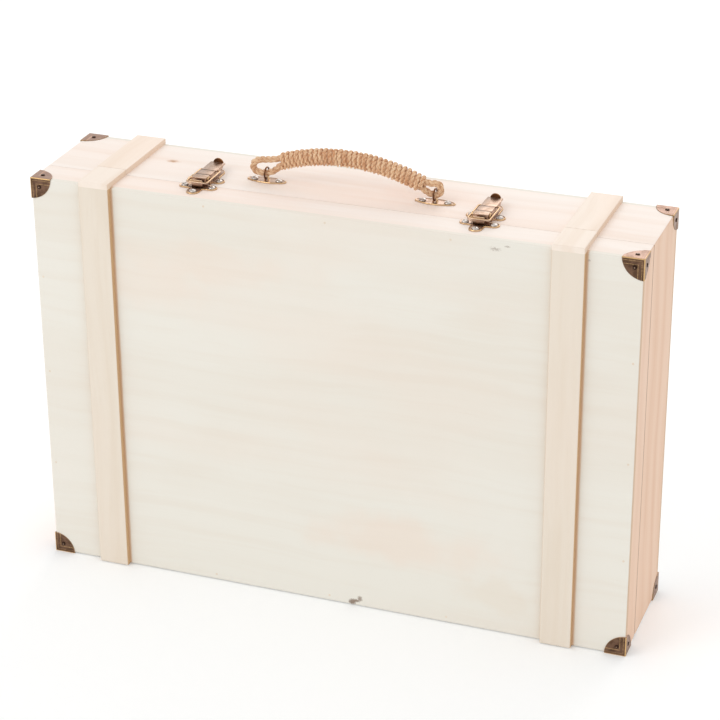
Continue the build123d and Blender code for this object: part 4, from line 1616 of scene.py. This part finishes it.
@dataclass
class Fasteners:
    """The screws and nails, set where the frame has theirs."""

    screw: FastenerHead = field(
        default_factory=lambda: FastenerHead(
            2.7 * MM, 1.4 * MM, 0.1 * MM, 1.1 * MM, 6 * MM, slot_width=0.75 * MM, slot_depth=0.75 * MM
        )
    )
    nail: FastenerHead = field(
        default_factory=lambda: FastenerHead(1.6 * MM, 0.5 * MM, 0.28 * MM, 0.6 * MM, 4 * MM)
    )
    seed: int = 7
    end_share: float = 0.6
    weld: float = 1e-6

    def axes(self, node: str) -> list[tuple[Vector, Vector]]:
        """Finds the head end and the direction of each fastener in one node.

        Args:
            node: The frame's node, a group of separate fasteners.

        Returns:
            The middle of the head's top and the outward direction of each.
        """
        work = bmesh.new()
        work.from_mesh(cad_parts[node].data)
        bmesh.ops.remove_doubles(work, verts=work.verts, dist=self.weld)
        left = set(work.verts)
        found = []
        while left:
            island, todo = [], [left.pop()]
            while todo:
                vertex = todo.pop()
                island.append(vertex.co.copy())
                for edge in vertex.link_edges:
                    other = edge.other_vert(vertex)
                    if other in left:
                        left.discard(other)
                        todo.append(other)
            spots = np.array(island)
            low, high = spots.min(0), spots.max(0)
            axis = int(np.argmax(high - low))
            ends = []
            for limit in (low[axis], high[axis]):
                near = spots[np.abs(spots[:, axis] - limit) < self.end_share * (high - low)[axis] / 2]
                ends.append((near.max(0) - near.min(0)).sum() - np.ptp(near[:, axis]))
            sign = 1 if ends[1] > ends[0] else -1
            middle = Vector((low + high) / 2)
            middle[axis] = high[axis] if sign > 0 else low[axis]
            facing = Vector()
            facing[axis] = sign
            found.append((middle, facing))
        work.free()
        return sorted(found, key=lambda pair: tuple(pair[0]))

    def build(
        self,
        tree: bpy.types.NodeTree,
        template: bpy.types.Object,
        node: str,
        body: str,
        slot: str,
        finish: MetalFinish,
        sink: Callable[[Vector], float],
    ) -> None:
        """Builds one group of fasteners as one mesh.

        Args:
            tree: The tree that sets the heads.
            template: The head.
            node: The frame's node that the group stands for.
            body: The body that it rides on.
            slot: A material slot's name; not used.
            finish: The metal.
            sink: How far a head's top lies outside its seat, by the way it faces.
        """
        draw = random.Random(self.seed)
        places = self.axes(node)
        seats = bpy.data.meshes.new("seats")
        seats.from_pydata([top - facing * sink(facing) for top, facing in places], [], [])
        turned = seats.attributes.new("facing", "FLOAT_VECTOR", "POINT")
        turned.data.foreach_set("vector", [value for _, facing in places for value in facing])
        spins = seats.attributes.new("spin", "FLOAT", "POINT")
        spins.data.foreach_set("value", [draw.uniform(0.0, math.pi) for _ in places])
        mesh = run_tree(seats, tree, {"Head": template, "Size": 1.0, "Finish": finish.material()})
        finish_piece(f"turned_{node}", mesh, body, finish.material(), [node])

    def screw_sink(self, facing: Vector) -> float:
        """How far a screw's top lies outside its seat: by its rise, whichever way it faces."""
        return self.screw.rise

    def nail_sink(self, facing: Vector) -> float:
        """How far a nail's top lies outside its seat: one that faces down is driven in deeper."""
        return self.nail.rise if facing.z > -0.5 else self.nail.rise + self.nail.skirt

    def build_all(self) -> None:
        """Builds every group of visible fasteners."""
        tree = make_heads_tree()
        screw, nail = self.screw.build(), self.nail.build()
        screws = (("strike_screws", "lid"), ("latch_base_screws", "base"), ("handle_screws", "base"))
        for node, body in screws:
            self.build(tree, screw, node, body, "nickel_screw", NICKEL, self.screw_sink)
        for node, body in (("lid_corner_nails", "lid"), ("base_corner_nails", "base")):
            self.build(tree, nail, node, body, "aged_bronze", NAIL_BRONZE, self.nail_sink)
        for template in (screw, nail):
            bpy.data.objects.remove(template)


# ----------------------------------------------------------------- rope handle
def make_wind_group() -> bpy.types.NodeTree:
    """Builds the group that winds a curve round a path.

    Returns:
        A group that takes a curve and gives back a curve that circles it.
    """
    tree, desk, given, result = node_group(
        "wind_round_path",
        "GeometryNodeTree",
        {
            "Path": "shape",
            "Radius": "number",
            "Turns": "number",
            "Phase": "number",
            "Points": "count",
            "Wander": "number",
            "Seed": "number",
        },
        {"Curve": "shape"},
    )
    inputs = {"Curve": given.outputs["Path"], "Count": given.outputs["Points"]}
    even = desk.put("GeometryNodeResampleCurve", inputs)
    share = desk.put("GeometryNodeSplineParameter").outputs["Factor"]
    tangent = desk.put("GeometryNodeInputTangent").outputs[0]
    normal = desk.put("GeometryNodeInputNormal").outputs[0]
    across = desk.vector("CROSS_PRODUCT", tangent, normal)
    where = desk.put("GeometryNodeInputPosition").outputs[0]
    seeded = desk.triple(given.outputs["Seed"], 0.0, 0.0)
    uneven = desk.noise(desk.vector("ADD", where, seeded), 170.0, 1.0)
    wander = desk.math("MULTIPLY", desk.math("SUBTRACT", uneven, 0.5), given.outputs["Wander"])
    angle = desk.math("MULTIPLY", desk.math("MULTIPLY", share, given.outputs["Turns"]), 2 * math.pi)
    angle = desk.math("ADD", desk.math("ADD", angle, given.outputs["Phase"]), wander)
    swell = desk.math("ADD", 1.0, desk.math("MULTIPLY", wander, 0.35))
    reach = desk.math("MULTIPLY", given.outputs["Radius"], swell)
    out = desk.scaled(normal, desk.math("MULTIPLY", desk.math("COSINE", angle), reach))
    over = desk.scaled(across, desk.math("MULTIPLY", desk.math("SINE", angle), reach))
    moved = desk.put(
        "GeometryNodeSetPosition", {"Geometry": even.outputs[0], "Offset": desk.vector("ADD", out, over)}
    )
    desk.join(moved.outputs[0], result.inputs["Curve"])
    return tree


def lay_ply(desk: Desk, given: bpy.types.Node, curve: Socket) -> Socket:
    """Adds the nodes that give one ply its round skin, with its length and roundness stored.

    Args:
        desk: The desk of the cord's tree.
        given: The tree's input node.
        curve: The ply's centre line.

    Returns:
        The ply's closed mesh.
    """
    length = desk.put("GeometryNodeSplineParameter").outputs["Length"]
    marked = desk.put(
        "GeometryNodeStoreNamedAttribute",
        {"Geometry": curve, "Name": "along", "Value": length},
        data_type="FLOAT",
        domain="POINT",
    ).outputs[0]
    ring = desk.put("GeometryNodeCurvePrimitiveCircle", {"Resolution": 8, "Radius": 1.0}, mode="RADIUS")
    place = desk.put("GeometryNodeInputPosition").outputs[0]
    around = desk.put(
        "GeometryNodeStoreNamedAttribute",
        {"Geometry": ring.outputs[0], "Name": "around", "Value": place},
        data_type="FLOAT_VECTOR",
        domain="POINT",
    ).outputs[0]
    scale = desk.triple(given.outputs["Ply Radius"], given.outputs["Ply Radius"], 1.0)
    sized = desk.put("GeometryNodeTransform", {"Geometry": around, "Scale": scale}).outputs[0]
    inputs = {"Curve": marked, "Profile Curve": sized, "Fill Caps": True}
    return desk.put("GeometryNodeCurveToMesh", inputs).outputs[0]


def scatter_hairs(desk: Desk, given: bpy.types.Node, plies: Socket) -> Socket:
    """Adds the nodes that set short bent hairs on the plies.

    Args:
        desk: The desk of the cord's tree.
        given: The tree's input node.
        plies: The mesh of the plies.

    Returns:
        The hairs, as instances.
    """
    inputs = {"Mesh": plies, "Density": given.outputs["Hairs"], "Seed": 5}
    points = desk.put("GeometryNodeDistributePointsOnFaces", inputs).outputs
    long = given.outputs["Hair Length"]
    middle = desk.triple(desk.math("MULTIPLY", long, 0.45), 0.0, desk.math("MULTIPLY", long, 0.35))
    tip = desk.triple(long, desk.math("MULTIPLY", long, 0.3), desk.math("MULTIPLY", long, 0.3))
    inputs = {"Resolution": 5, "Start": (0.0, 0.0, 0.0), "Middle": middle, "End": tip}
    hair = desk.put("GeometryNodeCurveQuadraticBezier", inputs).outputs[0]
    inputs = {"Resolution": 3, "Radius": given.outputs["Hair Radius"]}
    thin = desk.put("GeometryNodeCurvePrimitiveCircle", inputs, mode="RADIUS").outputs[0]
    inputs = {"Curve": hair, "Profile Curve": thin, "Fill Caps": True}
    strand = desk.put("GeometryNodeCurveToMesh", inputs).outputs[0]
    inputs = {"Points": points["Points"], "Instance": strand, "Rotation": points["Rotation"]}
    hairs = desk.put("GeometryNodeInstanceOnPoints", inputs).outputs[0]
    inputs = {0: (0.0, 0.0, 0.0), 1: (0.3, 0.3, 2 * math.pi), "Seed": 9}
    anyhow = desk.put("FunctionNodeRandomValue", inputs, data_type="FLOAT_VECTOR").outputs[0]
    return desk.put("GeometryNodeRotateInstances", {"Instances": hairs, "Rotation": anyhow}).outputs[0]


def make_cord_tree(name: str, plies: int, wind: bpy.types.NodeTree) -> bpy.types.NodeTree:
    """Builds the tree of a twisted cord that may itself be wound round a path.

    Args:
        name: The tree's name.
        plies: The number of plies in the cord.
        wind: The group that winds a curve round a path.

    Returns:
        A tree that makes the cord's closed plies and its stray hairs.
    """
    tree, desk, given, result = node_group(
        name,
        "GeometryNodeTree",
        {
            "Path": "shape",
            "Winding Radius": "number",
            "Windings": "number",
            "Winding Points": "count",
            "Ply Offset": "number",
            "Ply Radius": "number",
            "Ply Turns": "number",
            "Ply Points": "count",
            "Wander": "number",
            "Hairs": "number",
            "Hair Length": "number",
            "Hair Radius": "number",
            "Finish": "material",
        },
        {"Cord": "shape"},
    )
    path = desk.put("GeometryNodeMeshToCurve", {"Mesh": given.outputs["Path"]}).outputs[0]
    wound = desk.group(
        wind,
        {
            "Path": path,
            "Radius": given.outputs["Winding Radius"],
            "Turns": given.outputs["Windings"],
            "Points": given.outputs["Winding Points"],
            "Wander": given.outputs["Wander"],
            "Seed": 3.0,
        },
    ).outputs[0]
    joined = desk.put("GeometryNodeJoinGeometry")
    for ply in range(plies):
        curve = desk.group(
            wind,
            {
                "Path": wound,
                "Radius": given.outputs["Ply Offset"],
                "Turns": given.outputs["Ply Turns"],
                "Phase": 2 * math.pi * ply / plies,
                "Points": given.outputs["Ply Points"],
                "Wander": given.outputs["Wander"],
                "Seed": 11.0 + ply,
            },
        ).outputs[0]
        desk.join(lay_ply(desk, given, curve), joined.inputs[0])
    cord = desk.put("GeometryNodeJoinGeometry")
    desk.join(joined.outputs[0], cord.inputs[0])
    desk.join(scatter_hairs(desk, given, joined.outputs[0]), cord.inputs[0])
    real = desk.put("GeometryNodeRealizeInstances", {"Geometry": cord.outputs[0]})
    dressed = desk.put(
        "GeometryNodeSetMaterial", {"Geometry": real.outputs[0], "Material": given.outputs["Finish"]}
    )
    desk.join(dressed.outputs[0], result.inputs["Cord"])
    return tree


@dataclass
class RopeHandle:
    """The rope handle: two twisted eyes, a wound grip, rings and bridged plates.

    Grip places are distances along the case and rises above its top.
    """

    grip_left: tuple[float, float] = (-54.0 * MM, 16.7 * MM)
    grip_middle: tuple[float, float] = (-2.0 * MM, 25.5 * MM)
    grip_right: tuple[float, float] = (56.0 * MM, 13.0 * MM)
    binding_radius: float = 6.75 * MM
    windings: float = 30.0
    ply_radius: float = 1.0 * MM
    ply_offset: float = 0.82 * MM
    ply_pitch: float = 7.2 * MM
    core_radius: float = 4.6 * MM
    strand_radius: float = 1.3 * MM
    strand_offset: float = 1.32 * MM
    strand_pitch: float = 13.0 * MM
    eye_spread: float = 2.45 * MM
    eye_inset: float = 5.0 * MM
    eye_exit: float = 3.0 * MM
    eye_reach: tuple[float, float] = (10.6 * MM, 4.3 * MM)
    eye_rise: tuple[float, float] = (9.6 * MM, 9.2 * MM)
    eye_inner: float = 4.9 * MM
    eye_bend: float = 0.62
    hairs: float = 16000.0
    hair_radius: float = 0.035 * MM
    plate_half: float = 9.6 * MM
    plate_lobe: float = 3.6 * MM
    plate_reach: float = 15.5 * MM
    plate_tip: float = 2.0 * MM
    waist_half: float = 4.0 * MM
    waist_radius: float = 5.2 * MM
    plate_blend: float = 0.9 * MM
    ring_wire: float = 0.65 * MM
    bridge_width: float = 3.0 * MM
    bridge_thickness: float = 0.55 * MM
    tunnel_half: float = 1.0 * MM
    tunnel_rise: float = 2.95 * MM

    def grip_points(self, depth: float, top: float, steps: int = 48) -> list[Vector]:
        """Finds points on the arc through the grip's left, middle and right places.

        Args:
            depth: Where the handle's plane lies.
            top: The top of the case.
            steps: The number of steps along the arc.

        Returns:
            The points from left to right.
        """
        (ax, az), (bx, bz), (cx, cz) = self.grip_left, self.grip_middle, self.grip_right
        twice = 2 * (ax * (bz - cz) + bx * (cz - az) + cx * (az - bz))
        a2, b2, c2 = ax * ax + az * az, bx * bx + bz * bz, cx * cx + cz * cz
        centre_x = (a2 * (bz - cz) + b2 * (cz - az) + c2 * (az - bz)) / twice
        centre_z = (a2 * (cx - bx) + b2 * (ax - cx) + c2 * (bx - ax)) / twice
        radius = math.hypot(ax - centre_x, az - centre_z)
        start = math.atan2(az - centre_z, ax - centre_x)
        end = math.atan2(cz - centre_z, cx - centre_x)
        points = []
        for step in range(steps + 1):
            angle = start + (end - start) * step / steps
            rise = centre_z + radius * math.sin(angle)
            points.append(Vector((centre_x + radius * math.cos(angle), depth, top + rise)))
        return points

    @staticmethod
    def path_mesh(points: Sequence[Vector]) -> bpy.types.Mesh:
        """Makes a mesh that holds one open path.

        Args:
            points: The points of the path.

        Returns:
            The mesh.
        """
        mesh = bpy.data.meshes.new("path")
        mesh.from_pydata(list(points), [(i, i + 1) for i in range(len(points) - 1)], [])
        return mesh

    @staticmethod
    def route_mesh(points: Sequence[Vector]) -> bpy.types.Mesh:
        """Draws the smooth line of a rope.

        Args:
            points: Its control points.

        Returns:
            A mesh that holds the line as one open path.
        """
        curve = bpy.data.curves.new("route", "CURVE")
        curve.dimensions = "3D"
        curve.resolution_u = 8
        spline = curve.splines.new("NURBS")
        spline.points.add(len(points) - 1)
        for knot, point in zip(spline.points, points):
            knot.co = (*point, 1.0)
        spline.order_u = 3
        spline.use_endpoint_u = True
        holder = bpy.data.objects.new("route", curve)
        mesh = bpy.data.meshes.new_from_object(holder)
        bpy.data.objects.remove(holder)
        return mesh

    def eye_route(self, grip: list[Vector], side: Side, ring: Vector) -> list[Vector]:
        """Finds the control points of one eye: out of the grip, round through its ring and back.

        Args:
            grip: The points of the grip's arc.
            side: The left or the right eye.
            ring: The centre of its ring.

        Returns:
            The control points in order.
        """
        index = 0 if side is Side.LEFT else 1
        end, before = (grip[0], grip[1]) if side is Side.LEFT else (grip[-1], grip[-2])
        along = (end - before).normalized()
        lift = Vector((-along.z, 0, along.x)) * (1 if along.x > 0 else -1)
        upper, lower = end + lift * self.eye_spread, end - lift * self.eye_spread
        far = Vector((ring.x + side.value * self.eye_reach[index], ring.y, ring.z))
        near = Vector((ring.x - side.value * self.eye_inner, ring.y, ring.z))
        high = Vector((far.x, ring.y, ring.z + self.eye_rise[index]))
        leave, enter = upper + along * self.eye_exit, lower + along * self.eye_exit
        return [
            upper - along * self.eye_inset,
            upper,
            leave.lerp(high, 0.25),
            leave.lerp(high, 0.8),
            high.lerp(far, 0.3),
            far.lerp(high, 0.22),
            far.lerp(near, 0.22),
            near.lerp(far, 0.3),
            near.lerp(enter, 1 - self.eye_bend),
            lower + along * self.eye_exit * 0.5,
            lower - along * self.eye_inset * 0.4,
            lower - along * self.eye_inset,
        ]

    def plate(self, centre: Vector) -> bpy.types.Mesh:
        """Builds a pointed oval plate with its bridge for the ring.

        Args:
            centre: The plate's centre on the wood.

        Returns:
            The mesh.
        """
        solid = Solid()
        tip = self.plate_reach - self.plate_tip
        arms = [
            Arm((-self.plate_half, 0), (self.plate_half, 0), self.plate_lobe),
            Arm((0, 0), (tip, 0), self.plate_tip),
            Arm((0, 0), (-tip, 0), self.plate_tip),
            Arm((-self.waist_half, 0), (self.waist_half, 0), self.waist_radius),
        ]
        StampedPlate(blend=self.plate_blend).add(solid, centre, arms)
        inner, outer = self.tunnel_half, self.tunnel_half + self.bridge_thickness
        rise, top = self.tunnel_rise, self.tunnel_rise + self.bridge_thickness
        foot = 0.6 * MM
        half = [(outer * 0.7, top - 0.1 * MM), (outer, rise - 0.6 * MM)]
        half += [(outer + 0.2 * MM, foot + 0.5 * MM), (outer + 0.8 * MM, foot)]
        outline = [(-x, z) for x, z in reversed(half)] + [(0, top)] + half
        outline += [(inner, foot), (inner, rise - 0.5 * MM), (0, rise)]
        outline += [(-inner, rise - 0.5 * MM), (-inner, foot)]
        corners = [centre + Vector((x, -self.bridge_width / 2, z)) for x, z in outline]
        solid.prism(corners, Vector((0, self.bridge_width, 0)), 0.1 * MM, 0.9)
        return solid.mesh()

    def build_grip(self, grip: list[Vector], wind: bpy.types.NodeTree) -> None:
        """Builds the wound twine and the rope inside it.

        Args:
            grip: The points of the grip's arc.
            wind: The group that winds a curve round a path.
        """
        twine_place = self.binding_radius - self.ply_radius - self.ply_offset
        twine_length = self.windings * 2 * math.pi * twine_place
        binding = run_tree(
            self.path_mesh(grip),
            make_cord_tree("bound_twine", 2, wind),
            {
                "Winding Radius": twine_place,
                "Windings": self.windings,
                "Winding Points": int(self.windings * 22),
                "Ply Offset": self.ply_offset,
                "Ply Radius": self.ply_radius,
                "Ply Turns": twine_length / self.ply_pitch,
                "Ply Points": int(twine_length / self.ply_pitch * 9),
                "Wander": 0.28,
                "Hairs": self.hairs,
                "Hair Length": 2.6 * MM,
                "Hair Radius": self.hair_radius,
                "Finish": JUTE_TWINE.material(),
            },
        )
        LOG.info("grip bound with %.0f mm of twine", twine_length / MM)
        finish_piece("wound_twine", binding, "handle", JUTE_TWINE.material(), ["grip_binding"])
        core = Solid()
        core.tube(grip[1:-1], self.core_radius, sides=20)
        finish_piece("rope_core", core.mesh(), "handle", JUTE_ROPE.material(), ["handle_rope"])

    def eye(self, route: bpy.types.Mesh, tree: bpy.types.NodeTree) -> bpy.types.Mesh:
        """Builds one eye of laid rope.

        Args:
            route: The line of the eye.
            tree: The tree of the rope.

        Returns:
            The mesh.
        """
        ends = [[route.vertices[index].co for index in edge.vertices] for edge in route.edges]
        length = sum((first - second).length for first, second in ends)
        return run_tree(
            route,
            tree,
            {
                "Winding Radius": 0.0,
                "Windings": 0.0,
                "Winding Points": 120,
                "Ply Offset": self.strand_offset,
                "Ply Radius": self.strand_radius,
                "Ply Turns": length / self.strand_pitch,
                "Ply Points": 130,
                "Wander": 0.3,
                "Hairs": self.hairs,
                "Hair Length": 2.2 * MM,
                "Hair Radius": self.hair_radius,
                "Finish": JUTE_ROPE.material(),
            },
        )

    def ring(self, centre: Vector, radius: float, steps: int = 48) -> bpy.types.Mesh:
        """Builds one wire ring.

        Args:
            centre: The ring's centre.
            radius: The radius of its centre line.
            steps: The number of steps round it.

        Returns:
            The mesh.
        """
        angles = [2 * math.pi * step / steps for step in range(steps)]
        circle = [centre + Vector((0, radius * math.cos(a), radius * math.sin(a))) for a in angles]
        wire = Solid()
        wire.tube(circle, self.ring_wire, closed=True)
        return wire.mesh()

    def build_all(self, box: CaseBox) -> None:
        """Builds the handle and its fittings on the case's top.

        Args:
            box: The planes of the case.
        """
        wind = make_wind_group()
        rings = {side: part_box(f"handle_ring_{side.word}") for side in Side}
        low, high = rings[Side.LEFT]
        depth, level = (low.y + high.y) / 2, (low.z + high.z) / 2
        grip = self.grip_points(depth, box.top)
        self.build_grip(grip, wind)
        rope_tree = make_cord_tree("laid_rope", 3, wind)
        for side in Side:
            word = side.word
            low, high = rings[side]
            centre = Vector(((low.x + high.x) / 2, depth, level))
            eye = self.eye(self.route_mesh(self.eye_route(grip, side, centre)), rope_tree)
            radius = (high.z - low.z) / 2 - self.ring_wire
            ring = self.ring(centre, radius)
            plate = self.plate(Vector((centre.x, depth, box.top)))
            pieces = (
                ("rope_eye", eye, "handle", "jute_rope", JUTE_ROPE, "handle_rope"),
                ("wire_ring", ring, "handle", "aged_bronze", RING_BRONZE, f"handle_ring_{word}"),
                ("bridged_plate", plate, "base", "latch_bronze", LATCH_BRONZE, f"handle_plate_{word}"),
            )
            for name, mesh, body, slot, finish, node in pieces:
                finish_piece(f"{name}_{word}", mesh, body, finish.material(), [node])


# ---------------------------------------------------------------------- hinges
def dress_hinges() -> None:
    """Gives the hinges, their screws and their pins their metals."""
    for side in Side:
        dress(f"hinge_lid_leaf_{side.word}", HINGE_BRASS.material())
        dress(f"hinge_base_leaf_{side.word}", HINGE_BRASS.material())
        dress(f"hinge_pin_{side.word}", STEEL.material())
    for name in ("hinge_lid_screws", "hinge_base_screws"):
        dress(name, NICKEL.material())


# ---------------------------------------------------------------------- studio
@dataclass
class Studio:
    """The camera, the pale floor and the soft lights."""

    place: tuple[float, float, float] = (0.5708, -1.5201, 0.9627)
    azimuth: float = 20.3016
    elevation: float = 25.5862
    roll: float = -0.3678
    lens: float = 118.6
    sensor: float = 36.0
    nearest: float = 0.05
    world_strength: float = 0.86
    floor_half: float = 6.0
    floor_lift: float = 0.1
    floor_tones: tuple[Colour, Colour] = ((0.93, 0.93, 0.935, 1), (0.95, 0.95, 0.95, 1))
    aim: tuple[float, float, float] = (0.0, 0.0, 0.2)

    def camera(self) -> None:
        """Sets the camera."""
        data = bpy.data.cameras.new("camera")
        data.lens = self.lens
        data.sensor_width = self.sensor
        data.clip_start = self.nearest
        azimuth, elevation, roll = (math.radians(a) for a in (self.azimuth, self.elevation, self.roll))
        flat = math.cos(elevation)
        back = Vector((math.sin(azimuth) * flat, -math.cos(azimuth) * flat, math.sin(elevation)))
        right = Vector((0, 0, 1)).cross(back).normalized()
        up = back.cross(right)
        turned_right = right * math.cos(roll) + up * math.sin(roll)
        turned_up = up * math.cos(roll) - right * math.sin(roll)
        turn = Matrix((turned_right, turned_up, back)).transposed().to_4x4()
        camera = bpy.data.objects.new("camera", data)
        camera.matrix_world = Matrix.Translation(self.place) @ turn
        bpy.context.scene.collection.objects.link(camera)
        bpy.context.scene.camera = camera

    def floor(self) -> None:
        """Lays the pale floor."""
        work = bmesh.new()
        bmesh.ops.create_grid(work, x_segments=2, y_segments=2, size=self.floor_half)
        mesh = bpy.data.meshes.new("floor")
        work.to_mesh(mesh)
        work.free()
        material, desk, shader = blank_material("studio_floor")
        place = desk.put("ShaderNodeTexCoord").outputs["Object"]
        paper = desk.noise(place, 3.0, 2.0)
        desk.join(desk.mix(paper, *self.floor_tones), shader.inputs["Base Color"])
        shader.inputs["Roughness"].default_value = 0.9
        shader.inputs["Specular IOR Level"].default_value = 0.1
        shader.inputs["Emission Color"].default_value = (0.88, 0.97, 1.0, 1.0)
        shader.inputs["Emission Strength"].default_value = self.floor_lift
        mesh.materials.append(material)
        floor = bpy.data.objects.new("floor", mesh)
        bpy.context.scene.collection.objects.link(floor)

    def light(
        self, name: str, place: tuple[float, float, float], size: float, power: float, colour: Colour
    ) -> None:
        """Adds one soft box that faces the case.

        Args:
            name: The light's name.
            place: Where it hangs.
            size: The side of its square.
            power: Its power in watts.
            colour: Its colour.
        """
        data = bpy.data.lights.new(name, "AREA")
        data.shape = "SQUARE"
        data.size = size
        data.energy = power
        data.color = colour[:3]
        lamp = bpy.data.objects.new(name, data)
        aim = Vector(self.aim) - Vector(place)
        lamp.matrix_world = Matrix.Translation(place) @ aim.to_track_quat("-Z", "Y").to_matrix().to_4x4()
        bpy.context.scene.collection.objects.link(lamp)

    def build_all(self) -> None:
        """Sets up the whole studio."""
        self.camera()
        self.floor()
        world = bpy.data.worlds.new("studio")
        world.use_nodes = True
        backdrop = world.node_tree.nodes["Background"]
        backdrop.inputs["Color"].default_value = (1.0, 1.0, 1.0, 1.0)
        backdrop.inputs["Strength"].default_value = self.world_strength
        bpy.context.scene.world = world
        self.light("key", (-1.3, -1.6, 1.9), 1.4, 12.0, (1.0, 0.985, 0.97, 1))
        self.light("back", (0.1, 1.7, 1.35), 1.5, 9.0, (1.0, 0.96, 0.93, 1))
        bpy.context.scene.view_settings.view_transform = "Standard"


def main() -> None:
    """Builds the studio and every sub-assembly in order."""
    logging.basicConfig(level=logging.INFO, format="%(name)s: %(message)s")
    Studio().build_all()
    box = CaseBox()
    CaseBoards(box).dress_all()
    CornerProtector().build_all(box)
    DrawLatch().build_all(box)
    Fasteners().build_all()
    RopeHandle().build_all(box)
    dress_hinges()


if __name__ == "__main__":
    main()
